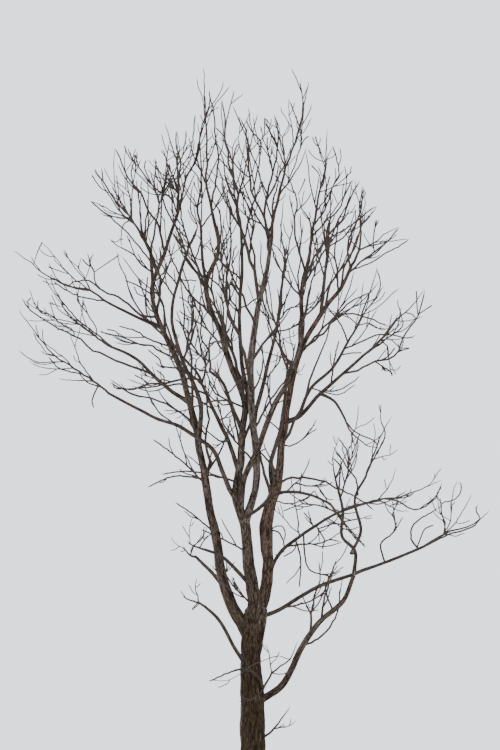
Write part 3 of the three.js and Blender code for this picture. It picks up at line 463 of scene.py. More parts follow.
# Side boughs that show in the view, by the limb that carries them: the depth of the tip, the path, and a base
# radius where it isn't the rule's. Each leaves its limb, a leader of a mass at the limb's tip or an earlier
# bough of the same limb, whichever the eye sees nearest to the path's first point.
SIDE_BOUGHS = {
    "trunk": [
        (-1.3, [(0.31, 3.15), (0.22, 3.42), (0.05, 3.62), (-0.2, 3.68), (-0.46, 3.67), (-1.2, 3.35)], 0.034),
        (-0.9, [(0.31, 3.12), (0.15, 2.98), (-0.05, 2.86), (-0.3, 2.95)]),
    ],
    "mid_leader": [
        (-0.6, [(0.0, 5.4), (-0.57, 6.04), (-0.8, 6.5)]),
        (-1.1, [(-0.2, 6.85), (-0.84, 7.26), (-1.4, 7.5)]),
        (-1.0, [(-0.4, 8.8), (-1.69, 9.08), (-2.5, 9.0)]),
        (0.9, [(-0.3, 9.6), (-0.65, 10.99), (-1.0, 11.2), (-1.3, 12.0)]),
        (-1.2, [(-0.25, 10.8), (-0.65, 11.0), (-1.0, 10.99), (-1.32, 10.92), (-1.66, 10.8)]),
        (-0.6, [(-0.65, 11.0), (-0.85, 11.11), (-1.01, 11.34), (-1.18, 11.59)]),
        (1.5, [(-0.22, 10.95), (-0.35, 11.72), (-0.71, 12.8), (-1.06, 13.76), (-1.0, 15.2)], 0.055),
        (-0.4, [(-0.27, 10.2), (-0.54, 10.72), (-0.62, 11.06), (-0.73, 11.34), (-0.96, 11.76),
                (-1.18, 11.92)], 0.036),
        (-0.7, [(-0.96, 11.76), (-1.18, 11.78), (-1.41, 11.84), (-1.52, 11.9), (-1.57, 12.01)]),
        (1.6, [(-0.75, 12.3), (-0.87, 12.46), (-1.01, 12.71), (-1.21, 12.93), (-1.41, 13.1), (-1.63, 13.24),
               (-1.86, 13.35), (-2.0, 13.47)], 0.032),
        (0.9, [(-1.38, 13.1), (-1.4, 13.35), (-1.52, 13.52), (-1.68, 13.74), (-1.66, 13.9)]),
        (0.8, [(-1.55, 13.55), (-1.63, 13.58), (-1.83, 13.74), (-1.99, 13.83)]),
        (-0.8, [(-0.7, 12.45), (-0.76, 13.1), (-0.9, 13.38), (-1.04, 13.61), (-1.21, 13.9)], 0.038),
        (-1.3, [(-1.0, 13.2), (-1.29, 13.52), (-1.49, 13.72), (-1.69, 13.91), (-1.85, 14.14), (-2.02, 14.55),
                (-2.13, 14.73), (-2.22, 14.95), (-2.25, 15.3)], 0.036),
        (-1.0, [(-1.69, 13.91), (-1.74, 13.74), (-1.69, 13.6), (-1.63, 13.41), (-1.66, 13.0)]),
        (0.3, [(-1.25, 14.05), (-1.41, 14.28), (-1.52, 14.5), (-1.77, 14.87), (-1.91, 15.37), (-2.08, 15.73),
               (-2.2, 16.7)], 0.038),
        (-1.2, [(-1.27, 14.1), (-1.43, 14.53), (-1.57, 14.89), (-1.69, 15.2), (-1.8, 15.51), (-1.91, 15.93),
                (-1.94, 16.2), (-1.87, 16.7)], 0.036),
        (-0.4, [(-1.55, 14.85), (-1.46, 15.09), (-1.38, 15.48), (-1.38, 16.04), (-1.35, 17.0)]),
        (-1.6, [(-1.7, 15.2), (-1.52, 15.57), (-1.49, 15.79), (-1.63, 16.07), (-1.7, 16.3)]),
        (0.9, [(-0.92, 15.1), (-0.9, 15.29), (-0.85, 15.51), (-0.87, 16.07), (-0.95, 16.3)]),
        (0.7, [(-1.15, 16.6), (-1.25, 16.9), (-1.42, 17.3), (-1.5, 17.6), (-1.43, 18.1), (-1.3, 18.65),
               (-1.13, 19.15)]),
        (0.2, [(-1.1, 16.3), (-0.95, 17.15), (-0.93, 17.7), (-1.0, 18.1), (-1.05, 18.85), (-1.17, 19.5)]),
    ],
    "mid_left_bough": [
        (0.3, [(-1.38, 15.7), (-1.1, 16.1), (-0.85, 16.55), (-0.7, 16.9)]),
    ],
    "left_leader": [
        (0.0, [(-1.05, 7.4), (-1.6, 7.9), (-2.09, 8.24)]),
        (1.2, [(-1.3, 8.85), (-2.1, 8.95), (-2.86, 8.65)]),
        (-0.4, [(-1.32, 8.7), (-2.04, 9.47), (-2.72, 9.96)]),
        (1.2, [(-1.5, 10.1), (-1.8, 10.58), (-2.6, 11.02), (-3.24, 11.18), (-3.9, 11.5)]),
        (2.4, [(-1.7, 10.9), (-1.85, 12.0), (-1.6, 13.4), (-1.9, 14.8)], 0.045),
        (-0.2, [(-1.95, 11.9), (-2.45, 11.95), (-2.5, 12.1), (-2.85, 12.4)]),
        (1.6, [(-2.25, 12.75), (-2.39, 13.27), (-2.41, 13.6), (-2.55, 13.86), (-2.66, 14.1)], 0.035),
        (1.5, [(-2.45, 12.95), (-2.61, 13.1), (-2.8, 13.18), (-3.03, 13.3)]),
        (0.2, [(-2.67, 13.3), (-2.81, 13.52), (-2.89, 13.75)]),
        (0.8, [(-2.55, 14.4), (-2.67, 14.67), (-2.75, 14.75)]),
        (0.3, [(-2.05, 12.15), (-2.5, 12.35), (-2.75, 12.5), (-3.0, 12.52), (-3.6, 12.75), (-4.15, 12.87)]),
        (0.6, [(-3.6, 12.75), (-3.7, 12.88), (-3.95, 12.95)]),
        (1.4, [(-2.2, 12.45), (-2.6, 12.6), (-2.85, 12.7), (-3.15, 12.9), (-3.65, 13.03)]),
        (-0.6, [(-2.55, 13.3), (-2.9, 13.3), (-3.05, 13.35), (-3.35, 13.62), (-3.7, 13.85), (-4.1, 14.0),
                (-4.45, 14.27), (-4.85, 14.22), (-5.1, 14.05)]),
        (-1.0, [(-4.1, 14.0), (-4.25, 14.2), (-4.33, 14.6), (-4.5, 14.72), (-4.63, 14.87)]),
        (-0.6, [(-4.3, 14.5), (-4.0, 14.7), (-3.6, 14.97)]),
        (1.9, [(-2.7, 13.35), (-2.87, 13.8), (-3.1, 13.9), (-3.22, 14.12)]),
        (1.3, [(-2.85, 13.35), (-2.9, 13.75), (-2.83, 14.4)]),
        (0.2, [(-2.72, 13.9), (-3.15, 14.15), (-3.45, 14.27)]),
        (2.2, [(-2.6, 13.4), (-2.5, 14.3), (-2.9, 15.4), (-2.8, 16.6)]),
        (1.2, [(-2.3, 15.05), (-2.5, 15.6), (-2.6, 15.87), (-2.8, 16.15), (-3.0, 16.6), (-3.2, 16.85),
               (-3.4, 17.15), (-3.55, 17.5), (-3.75, 17.9)]),
        (1.7, [(-3.2, 16.9), (-3.28, 17.2), (-3.15, 17.7)]),
        (1.6, [(-2.02, 16.0), (-2.0, 16.8), (-1.95, 17.5), (-2.07, 18.0), (-2.06, 18.35)]),
        (2.0, [(-1.96, 17.4), (-1.8, 17.5), (-1.68, 17.75), (-1.6, 18.15), (-1.55, 18.8)]),
        (1.9, [(-2.03, 16.1), (-2.2, 16.5), (-2.6, 16.75), (-2.75, 17.2)]),
        (0.6, [(-2.15, 15.8), (-2.4, 16.4), (-2.45, 16.8), (-2.65, 17.15)]),
        (0.5, [(-2.0, 16.0), (-1.9, 16.6), (-1.75, 17.15), (-1.52, 17.55), (-1.42, 18.1)]),
    ],
    "left_outer_bough": [
        (0.6, [(-2.73, 14.7), (-2.75, 15.0), (-2.62, 15.8), (-2.53, 16.35), (-2.72, 16.85), (-3.07, 17.37),
               (-3.15, 17.7)]),
        (0.9, [(-3.07, 17.37), (-3.35, 17.65), (-3.48, 17.95)]),
        (0.3, [(-2.72, 16.85), (-2.92, 17.35), (-2.88, 17.55)]),
        (-0.4, [(-2.53, 16.35), (-2.2, 16.95), (-2.05, 17.35), (-1.92, 17.6), (-1.72, 18.0)]),
        (0.2, [(-2.53, 16.35), (-2.65, 16.9), (-2.6, 17.55)]),
        (-0.2, [(-2.53, 16.3), (-2.4, 16.75), (-2.27, 17.45)]),
        (-0.6, [(-2.95, 15.2), (-3.17, 15.75), (-3.5, 16.05), (-3.7, 16.4), (-4.05, 17.0), (-4.1, 17.35)]),
        (-1.1, [(-3.85, 16.65), (-4.1, 16.78), (-4.37, 17.15)]),
        (0.1, [(-3.17, 15.75), (-3.5, 16.3), (-3.82, 16.85)]),
        (-1.4, [(-2.8, 14.75), (-3.0, 15.1), (-3.42, 15.6), (-4.0, 16.1), (-4.4, 16.45)]),
        (-0.9, [(-2.95, 15.3), (-3.0, 15.75), (-3.05, 16.3), (-3.12, 16.7), (-3.35, 17.0)]),
        (-0.6, [(-2.78, 14.5), (-3.0, 14.7), (-3.2, 14.95), (-3.6, 15.2)]),
    ],
    "left_inner_bough": [
        (-1.2, [(-2.1, 13.8), (-2.3, 14.1), (-2.5, 14.4), (-2.6, 15.0)]),
        (-2.6, [(-2.07, 14.15), (-2.13, 14.28), (-2.3, 14.47), (-2.45, 14.7), (-2.55, 14.9)]),
        (-2.0, [(-1.96, 14.3), (-1.8, 14.27), (-1.65, 14.28), (-1.49, 14.25)]),
        (-2.2, [(-1.8, 14.95), (-1.91, 15.09), (-1.94, 15.37), (-1.97, 15.76)]),
    ],
    "left_middle_bough": [
        (1.2, [(-2.36, 11.45), (-2.41, 11.67), (-2.61, 11.84)]),
        (0.6, [(-2.7, 11.7), (-3.0, 11.85), (-3.6, 12.05), (-4.0, 12.25), (-4.4, 12.4), (-4.65, 12.65),
               (-5.1, 12.9), (-5.5, 13.1), (-6.05, 13.5), (-6.27, 13.8)]),
        (1.2, [(-4.83, 12.75), (-4.85, 12.9), (-5.2, 13.1), (-5.5, 13.35), (-5.78, 13.42), (-5.83, 13.75)]),
        (0.9, [(-6.05, 13.5), (-6.1, 13.7), (-6.0, 13.8)]),
        (1.6, [(-3.8, 12.45), (-4.2, 12.8), (-4.45, 12.97), (-4.7, 13.15), (-5.05, 13.55), (-5.33, 13.9)]),
        (2.2, [(-4.2, 12.8), (-4.25, 13.0), (-4.5, 13.4), (-4.75, 13.75), (-4.73, 13.87)]),
        (2.5, [(-4.45, 13.35), (-4.55, 13.6), (-4.62, 13.68)]),
    ],
    "left_reaching_bough": [
        (-0.8, [(-5.9, 14.73), (-5.83, 15.05), (-5.7, 15.33)]),
        (0.2, [(-5.05, 14.35), (-5.3, 14.55), (-5.55, 14.65)]),
        (1.4, [(-3.97, 13.7), (-4.3, 13.75), (-4.8, 13.88), (-5.3, 14.17), (-5.4, 14.27)]),
    ],
    "left_sweeping_bough": [
        (-2.2, [(-4.65, 11.7), (-5.0, 11.8), (-5.3, 11.92), (-5.55, 12.2)]),
        (-1.9, [(-4.2, 11.4), (-4.35, 11.0), (-4.3, 10.8)]),
    ],
    "inner_left_bough": [
        (2.4, [(-1.25, 11.3), (-1.55, 11.85), (-1.8, 12.1), (-2.0, 12.3), (-2.3, 12.95), (-2.42, 13.65),
               (-2.6, 14.0), (-2.75, 14.6)], 0.045),
        (2.9, [(-1.3, 11.5), (-1.27, 11.84), (-1.27, 12.18), (-1.2, 12.4), (-1.38, 12.7), (-1.38, 13.1),
               (-1.35, 13.3), (-1.4, 13.6), (-1.4, 13.9)], 0.034),
        (2.6, [(-1.21, 12.43), (-1.1, 12.51), (-1.01, 12.6)]),
        (1.0, [(-1.1, 11.05), (-1.27, 11.2), (-1.52, 11.28), (-1.94, 11.45), (-2.25, 11.42), (-2.78, 11.48),
               (-3.17, 11.31), (-3.5, 11.33), (-3.75, 11.35), (-3.8, 11.55)], 0.034),
        (0.8, [(-2.8, 11.47), (-3.0, 11.6), (-3.2, 11.7)]),
        (1.2, [(-1.07, 10.75), (-1.29, 10.92), (-1.63, 11.17), (-1.74, 11.25)]),
        (3.2, [(-1.3, 11.95), (-1.32, 12.15), (-1.46, 12.29), (-1.57, 12.46), (-1.71, 12.62), (-1.71, 12.79),
               (-1.8, 12.96), (-1.97, 13.13), (-2.11, 13.24)], 0.03),
        (3.0, [(-1.74, 12.76), (-1.74, 12.99), (-1.73, 13.18), (-1.8, 13.23)]),
        (2.7, [(-1.55, 12.43), (-1.49, 12.71), (-1.46, 12.9), (-1.5, 13.07)]),
    ],
    "centre_leader": [
        (-0.8, [(0.06, 9.3), (-0.33, 9.76), (-0.76, 10.36), (-1.0, 11.2)]),
        (-0.6, [(0.1, 10.2), (0.52, 11.04), (0.98, 11.72), (1.2, 12.6)]),
        (-1.5, [(0.0, 11.2), (-0.33, 12.68), (-0.57, 13.22), (-0.73, 13.76), (-0.6, 15.0), (-0.6, 15.9),
                (-0.66, 16.35)]),
        (-1.1, [(0.02, 12.05), (0.2, 12.4), (0.65, 13.0), (0.78, 13.5), (0.83, 14.5), (0.95, 15.3)]),
        (0.9, [(0.7, 13.1), (0.95, 13.46), (1.28, 13.63), (1.6, 14.9)]),
        (0.2, [(0.22, 13.6), (0.1, 14.3), (-0.1, 15.0), (-0.28, 15.7), (-0.4, 16.1), (-0.42, 16.8),
               (-0.57, 17.2), (-0.65, 17.7), (-0.75, 18.15), (-0.72, 18.5), (-0.83, 19.25)]),
        (0.5, [(-0.75, 18.15), (-0.85, 18.3), (-0.98, 18.42)]),
        (0.0, [(-0.57, 17.15), (-0.68, 17.35), (-0.9, 17.6)]),
        (-0.3, [(-0.55, 17.2), (-0.45, 17.85), (-0.35, 18.0)]),
        (0.7, [(-0.05, 14.9), (0.0, 15.5), (0.03, 15.95), (-0.1, 16.3), (-0.4, 16.82)]),
        (-0.9, [(0.5, 15.4), (0.25, 16.15), (0.0, 16.67), (-0.05, 17.0), (-0.1, 17.7), (-0.15, 18.25),
                (-0.32, 18.73)]),
        (-0.4, [(0.02, 16.67), (0.2, 17.5), (0.23, 18.05), (0.0, 18.3), (-0.17, 18.67)]),
        (-0.7, [(0.23, 18.05), (0.33, 18.25), (0.34, 18.7)]),
        (-1.2, [(-0.05, 17.05), (-0.35, 17.3), (-0.65, 17.7)]),
        (0.4, [(0.45, 15.0), (0.35, 16.1), (0.42, 16.7), (0.55, 17.2), (0.72, 17.95), (0.72, 18.3),
               (0.6, 18.8)]),
        (0.2, [(0.72, 17.95), (0.62, 18.1), (0.36, 18.55)]),
        (0.0, [(0.42, 16.45), (0.62, 16.85), (0.72, 17.4)]),
        (0.8, [(0.55, 17.2), (0.42, 17.9), (0.42, 18.2)]),
        (0.2, [(0.95, 16.9), (1.3, 17.85), (1.35, 18.2), (1.1, 18.95), (1.0, 19.2)]),
        (-0.5, [(1.35, 18.2), (1.4, 19.0), (1.3, 19.7)]),
        (-0.7, [(1.3, 17.8), (1.42, 18.1), (1.55, 18.2)]),
    ],
    "centre_left_bough": [
        (0.4, [(-0.35, 12.75), (-0.51, 13.04), (-0.65, 13.35), (-0.65, 13.6), (-0.76, 13.9), (-0.9, 14.14),
               (-1.1, 14.31), (-1.3, 14.65)], 0.036),
        (1.4, [(-0.9, 14.14), (-0.88, 14.3), (-0.9, 14.45), (-0.8, 14.7), (-0.85, 14.9), (-0.79, 15.29),
               (-0.65, 15.54), (-0.59, 15.93), (-0.62, 16.2)]),
        (0.7, [(-0.27, 14.25), (-0.45, 14.45), (-0.65, 14.56), (-0.8, 14.7), (-0.95, 14.95)]),
        (1.9, [(-0.34, 13.2), (-0.38, 13.45), (-0.6, 13.8), (-0.59, 14.0), (-0.68, 14.28), (-0.72, 14.6)]),
        (2.3, [(-0.33, 13.75), (-0.43, 14.02), (-0.54, 14.25), (-0.51, 14.53), (-0.54, 14.75), (-0.48, 15.09),
               (-0.4, 15.25)]),
        (2.0, [(-0.65, 13.4), (-0.8, 14.5), (-0.87, 16.1), (-0.95, 16.3)]),
        (2.2, [(-0.28, 15.0), (0.0, 16.3), (0.1, 16.5), (0.35, 17.0)]),
        (1.2, [(-0.3, 15.7), (-0.6, 16.2), (-0.8, 16.55), (-1.0, 16.9)]),
    ],
    "centre_right_bough": [
        (1.2, [(0.65, 12.87), (1.0, 12.95), (1.4, 13.15)]),
    ],
    "crossing_bough": [
        (-0.6, [(0.08, 9.55), (0.38, 9.7)]),
        (-1.3, [(0.5, 10.7), (0.44, 11.64), (0.71, 12.0), (0.79, 12.27)]),
        (-1.1, [(0.62, 10.9), (0.87, 11.02)]),
        (-0.7, [(1.35, 13.2), (1.6, 13.45), (1.85, 13.75), (1.96, 14.5)]),
        (-1.9, [(1.33, 13.8), (1.05, 14.15), (0.6, 14.9), (0.55, 15.2)]),
        (-1.7, [(1.45, 14.5), (1.18, 15.4), (1.15, 15.85), (1.23, 16.45), (1.1, 16.8), (1.0, 17.0)]),
        (-2.0, [(1.24, 16.6), (1.35, 16.8), (1.45, 17.05)]),
        (-0.9, [(2.05, 17.4), (1.8, 17.95), (1.72, 18.2)]),
        (-1.5, [(1.88, 16.75), (1.83, 17.15), (1.6, 17.42)]),
        (-1.7, [(1.75, 15.75), (2.0, 16.25), (1.97, 16.5), (2.12, 17.15)]),
        (-0.5, [(2.0, 16.25), (2.25, 16.95), (2.37, 17.15), (2.2, 17.95)]),
        (-2.0, [(1.45, 14.1), (1.6, 14.7), (2.0, 15.4), (2.45, 15.95), (2.65, 16.45), (2.95, 17.02)]),
        (-0.3, [(1.5, 14.1), (1.75, 14.7), (2.0, 15.1), (2.5, 15.45), (2.8, 15.85), (3.4, 16.3)]),
    ],
    "right_leader": [
        (0.12, [(0.35, 8.3), (0.34, 9.0), (0.22, 9.52), (0.12, 9.9)], 0.062),
        (0.12, [(0.58, 8.55), (0.52, 9.25), (0.3, 9.52), (0.14, 9.75)], 0.05),
        (-0.4, [(0.66, 8.9), (0.55, 9.33), (0.65, 9.82), (0.79, 10.17), (0.9, 11.0)]),
        (-0.4, [(0.45, 7.5), (0.71, 7.43), (0.87, 7.1), (0.85, 6.85)], 0.026),
        (0.0, [(0.5, 7.5), (0.65, 7.58), (0.82, 7.58), (0.9, 7.42), (0.88, 7.2)]),
        (-0.6, [(0.7, 8.7), (1.0, 8.88), (1.4, 8.9), (1.9, 8.83), (2.35, 8.6), (2.8, 8.4), (3.35, 8.0)]),
        (-0.3, [(0.65, 8.4), (0.95, 8.55), (1.2, 8.75), (1.5, 8.68), (2.0, 8.73)]),
        (-0.9, [(1.75, 8.72), (1.95, 8.45), (2.1, 8.15)]),
        (0.0, [(0.85, 10.05), (0.7, 10.25), (0.5, 10.42), (0.3, 10.65)]),
        (-0.5, [(1.3, 12.3), (2.12, 13.16), (2.8, 13.76), (3.32, 13.98)]),
        (1.8, [(1.35, 12.4), (2.0, 12.9), (2.4, 13.35), (3.0, 13.3), (3.75, 13.0)]),
        (0.1, [(1.9, 13.4), (1.95, 14.2), (2.05, 14.9), (2.07, 15.8), (2.4, 16.3), (2.74, 17.05)]),
        (1.7, [(2.0, 13.5), (2.1, 14.1), (2.6, 14.8), (2.8, 15.2), (2.97, 15.75)]),
        (0.3, [(2.33, 13.95), (2.33, 14.4), (2.25, 15.0), (2.35, 15.85), (2.33, 16.0)]),
        (1.3, [(2.4, 14.05), (2.55, 14.75), (2.72, 15.05), (2.85, 15.4), (3.1, 16.05)]),
        (0.3, [(2.7, 14.6), (2.62, 15.3), (2.95, 16.15), (3.02, 16.85)]),
        (0.9, [(2.6, 14.4), (3.0, 14.8), (3.32, 15.05), (3.65, 15.3), (4.0, 15.72)]),
        (1.6, [(3.32, 15.05), (3.3, 15.4), (3.4, 15.94)]),
        (-0.1, [(2.72, 14.6), (3.1, 14.7), (3.4, 14.85), (3.7, 15.05), (4.0, 15.2), (4.28, 15.4)]),
    ],
    "right_middle_bough": [
        (0.2, [(2.1, 11.5), (2.3, 12.4), (2.38, 12.65)]),
        (-1.4, [(2.5, 11.75), (2.8, 11.8), (3.1, 11.95), (3.35, 12.05), (3.8, 12.15), (3.97, 12.3),
                (4.15, 12.8), (4.5, 13.25), (4.6, 13.6), (4.7, 14.05)]),
        (-1.2, [(4.55, 13.35), (4.75, 13.5), (4.9, 13.6)]),
        (-1.8, [(4.52, 13.3), (4.48, 13.7), (4.47, 14.0)]),
        (-1.0, [(4.5, 13.2), (4.35, 13.35), (4.15, 13.4)]),
        (-1.8, [(3.97, 12.3), (4.1, 12.38), (4.28, 12.43)]),
        (-1.9, [(3.35, 12.05), (3.6, 11.9), (3.8, 11.75), (3.8, 11.65)]),
        (-1.0, [(3.3, 12.05), (3.65, 12.17), (3.9, 12.45)]),
        (-0.5, [(2.9, 12.1), (3.4, 12.5), (3.75, 12.75), (4.07, 13.0), (4.12, 13.2)]),
    ],
    "right_rising_bough": [
        (1.3, [(2.58, 12.35), (3.0, 12.62), (3.25, 12.75), (3.6, 12.8), (4.3, 12.72), (4.45, 12.8)]),
        (1.0, [(2.61, 12.6), (2.4, 13.1), (2.25, 13.3), (2.05, 13.55)]),
        (1.3, [(2.6, 12.6), (3.0, 13.3), (3.45, 13.95), (3.5, 14.2), (3.4, 14.6)]),
        (1.4, [(2.5, 12.2), (2.75, 12.3), (3.0, 12.3)]),
    ],
    "right_drooping_bough": [(-2.2, [(2.53, 10.45), (2.75, 10.2), (2.95, 10.07), (3.33, 9.9), (3.42, 9.7)])],
    "low_right_bough": [
        (1.0, [(1.4, 4.35), (1.9, 4.6), (2.3, 5.2), (2.4, 5.9)]),
        (-1.0, [(2.2, 5.3), (2.0, 5.9), (2.25, 6.5)]),
    ],
    "low_right_riser": [
        (0.2, [(2.47, 8.05), (3.1, 8.23), (3.6, 8.33), (4.04, 8.24), (4.39, 8.05), (4.69, 8.12), (5.04, 8.43),
               (5.18, 8.8)]),
        (-1.5, [(2.4, 8.3), (2.61, 9.14), (2.58, 9.63), (2.34, 10.0)]),
        (-0.9, [(2.61, 9.14), (2.72, 9.5), (2.92, 10.1)]),
        (-1.7, [(2.45, 7.85), (2.05, 8.08), (1.7, 8.17), (1.4, 8.2), (1.25, 8.33)]),
        (-1.9, [(1.4, 8.2), (1.1, 8.1), (0.85, 8.0)]),
        (-1.8, [(2.35, 8.5), (2.38, 8.85), (2.38, 9.25), (2.2, 9.45)]),
        (-0.5, [(2.45, 7.7), (2.7, 7.75), (2.95, 7.8)]),
        (-0.9, [(2.42, 7.6), (2.2, 7.65), (1.9, 7.55), (1.75, 7.5)]),
    ],
    "low_right_outer": [
        (0.9, [(3.1, 8.95), (3.3, 9.4), (3.5, 9.75), (3.62, 10.05), (3.5, 10.5)]),
        (-0.3, [(2.8, 8.45), (2.83, 8.85), (2.6, 9.15), (2.45, 9.4), (2.25, 9.62)]),
    ],
    "far_right_bough": [
        (-0.7, [(0.8, 5.36), (1.58, 5.55), (2.1, 5.9)]),
        (-0.5, [(3.6, 6.6), (3.5, 7.1), (3.9, 7.5), (3.8, 8.0)]),
        (0.8, [(4.5, 7.02), (4.33, 7.25), (4.38, 7.6), (4.6, 7.8), (4.95, 8.0), (5.05, 8.1)]),
        (-0.4, [(4.52, 7.03), (4.7, 7.5), (4.95, 7.62)]),
        (0.6, [(4.68, 7.03), (5.1, 7.25), (5.3, 7.35), (5.8, 7.5), (6.05, 7.6), (6.2, 7.8), (6.1, 8.0),
               (6.15, 8.2)]),
        (1.1, [(5.28, 7.34), (5.2, 7.8), (5.15, 8.2), (5.4, 8.27), (5.62, 8.4), (5.7, 8.7), (5.6, 8.8)]),
        (0.7, [(5.15, 8.2), (5.03, 8.45), (5.15, 8.65)]),
    ],
    "right_flat_bough": [
        (0.65, [(1.2, 7.2), (1.32, 6.7), (1.28, 5.9)]),
        (1.2, [(1.4, 7.35), (1.55, 6.42), (2.12, 6.23)]),
        (0.0, [(0.95, 7.05), (1.4, 7.1), (1.85, 7.12), (2.15, 7.22), (2.4, 7.15)]),
        (0.6, [(1.7, 7.55), (1.55, 7.8), (1.4, 7.97)]),
        (1.2, [(1.75, 7.6), (1.9, 7.35), (1.97, 7.2), (1.9, 6.95)]),
        (0.5, [(1.2, 7.15), (1.15, 6.95), (0.85, 6.75)]),
    ],
    "right_slim_bough": [(-2.4, [(2.1, 8.2), (2.45, 7.75), (2.75, 7.4), (3.1, 7.0)])],
}

# Side boughs that show: their radii and how they stray
SIDE_THIN = 0.018  # base radius of the shortest of them
SIDE_STOUT = 0.006  # and how much a metre of length adds to it
SIDE_SHARE = 0.75  # its most, as a share of the radius that it leaves
SIDE_TIP = 0.0185
SIDE_POINTS = 20
SIDE_STRAY = 0.12  # how far a point strays, as a share of a step

# Side boughs that the rule grows
SIDE_SPACING = 0.5  # along a limb, between two side boughs
SIDE_STEPS_LEAST = 4
SIDE_FIRST = 0.3  # share of a limb's length before the first
SIDE_LAST = 0.82  # and share after which there are none
SIDE_DEEP = 0.56  # least share of a side bough's reach that lies along the gaze
SIDE_FREE_FROM = 5  # the first of its points that has to be clear of the limbs

# The crown's outline in the view: at each height, how far it reaches to the left and to the right
CROWN_OUTLINE = [
    (2.0, -0.9, 1.0),
    (4.0, -1.3, 1.4),
    (5.5, -2.0, 2.4),
    (7.0, -2.3, 5.0),
    (8.7, -2.9, 5.3),
    (9.6, -3.0, 4.0),
    (10.6, -3.2, 3.9),
    (11.2, -4.2, 3.6),
    (12.0, -5.2, 4.3),
    (13.2, -6.1, 4.7),
    (14.9, -6.4, 4.6),
    (15.4, -4.9, 4.2),
    (16.5, -4.4, 3.3),
    (17.4, -4.2, 2.8),
    (18.1, -3.2, 2.3),
    (18.9, -2.0, 1.7),
    (20.0, -1.3, 1.5),
]
CROWN_DEPTH = 0.9  # the crown's depth, as a share of its width at the same height
BOX_MARGIN = 0.01  # kept from the borders of the tree's own box


class Limb(NamedTuple):
    """A limb: its path's points, its solid's ring centres and their radii, and its radii from base to tip."""

    knots: np.ndarray
    line: np.ndarray
    radii: np.ndarray
    widths: tuple


class Leader(NamedTuple):
    """A leading twig of a mass: its line of nodes, their radii, its key and the number of its mass."""

    line: np.ndarray
    radii: np.ndarray
    key: int
    mass: int


class Twigs(NamedTuple):
    """Many twigs with equally many points: lines (twig, point, 3), radii (twig, point), keys and owners.

    An owner is the number of a mass, or of a limb counted on from the last mass.
    """

    lines: np.ndarray
    radii: np.ndarray
    keys: np.ndarray
    owners: np.ndarray


class Growth(NamedTuple):
    """How side twigs grow from the nodes of what carries them, with angles in degrees."""

    salt: int  # sets the keys of this order apart
    share: float  # share of the nodes that carry a twig
    angle: float = 28  # least angle from its parent
    angle_spread: float = 24
    length: float = 0.34  # least length, as a share of its parent's
    length_spread: float = 0.26
    length_most: float = 1.8
    least: float = 0.0  # shorter twigs are left out
    shortens: float = 0.5  # how much shorter the last twig of a parent is than its first
    rise: float = 0.5  # how far the outer half turns up
    taper: float = 0.65  # its base radius, as a share of its parent's there
    crook: float = 0.0  # how far each step strays from the twig's heading
    points: int = 3
    tip: float = 0.0  # radius at its tip


class Surface(NamedTuple):
    """Points with the faces between them, and values that the points carry."""

    points: np.ndarray
    quads: np.ndarray
    triangles: np.ndarray
    values: dict = {}


# The side twigs of the solids' leaders, the same with more points, and those between them
SOLID_TWIGS = Growth(salt=100, share=0.85)
FIRST_TWIGS = Growth(salt=100, share=0.85, points=9, crook=0.2, tip=0.013)
BETWEEN_TWIGS = Growth(
    salt=200, share=0.08, angle=16, angle_spread=17, length=0.2, length_spread=0.3, length_most=1.5,
    least=0.35, rise=0.6, taper=0.75, points=9, crook=0.18, tip=0.014,
)
# The grown side boughs, and the twigs of the grown and of the shown ones
SIDE_GROWTH = Growth(
    salt=600, share=0.8, angle=34, angle_spread=22, length=0.45, length_spread=0.4, length_most=4.2,
    least=0.8, rise=0.6, taper=0.5, points=SIDE_POINTS, crook=0.2, tip=0.015,
)
SIDE_TWIGS = Growth(
    salt=700, share=0.12, angle=17, angle_spread=18, length=0.3, length_spread=0.36, length_most=1.9,
    least=0.4, shortens=0.4, rise=0.6, taper=0.75, points=9, crook=0.18, tip=0.0145,
)
SHOWN_TWIGS = Growth(
    salt=800, share=0.18, angle=15, angle_spread=17, length=0.28, length_spread=0.4, length_most=2.0,
    least=0.4, shortens=0.3, rise=0.5, taper=0.8, points=9, crook=0.17, tip=0.0145,
)
# The two orders of finer twigs, each on the one before
FINER_TWIGS = [
    Growth(salt=300, share=0.06, angle=17, angle_spread=20, length=0.34, length_spread=0.4,
           length_most=0.9, least=0.22, taper=0.85, points=6, crook=0.26, tip=0.013),
    Growth(salt=400, share=0.04, angle=20, angle_spread=20, length=0.38, length_spread=0.4,
           length_most=0.4, least=0.16, rise=0.4, taper=0.85, points=4, crook=0.26, tip=0.011),
]
KINK_STEPS = 2  # steps of a twig from one kink to the next
FREE_FROM = 2  # the first point of a twig that has to be clear of the limbs
LEADER_SIDES = 9
ORDER_SIDES = [7, 5, 4, 3]
LEADER_PARTS = 4  # parts between two nodes of a leader
LEADER_STRAY = 0.1  # how far a point strays, as a share of a step
LEADER_KNUCKLE = 1.08  # how much thicker a leader is at its nodes
FINE_TIP = 0.0155

# Limbs with their bark, drawn more finely than the solids
RING_STEP = 0.45  # distance from ring to ring, as a share of the limb's base radius
RING_STEP_LEAST, RING_STEP_MOST = 0.022, 0.05
HELD_LENGTH = 0.6  # how far from its ends a limb starts to bend freely
WANDER_LENGTH = 0.55  # distance along a limb between two bends
QUIET_LENGTH = 0.25  # how far from its tip the bark dies away
UNEVEN_FINER = (0.5, 2.3)  # the finer swellings' share of the slow ones, and how many there are to one

# The relief of the bark
BEND_REACH = 0.8  # how far the slower noise bends the furrows, in furrow widths
BEND_COUNT = 0.4  # slow bends to a furrow width
FURROW_SHARPNESS = 3.2
RIDGE_POWER = 0.6  # the lower, the flatter the ridges
ROUGH_COUNT = 2.9  # finer bumps to a furrow width
RIDGE_SHARE, ROUGH_SHARE = 0.78, 0.22
RELIEF_LEVEL = 0.6  # the height in the relief that lies on the limb's own radius

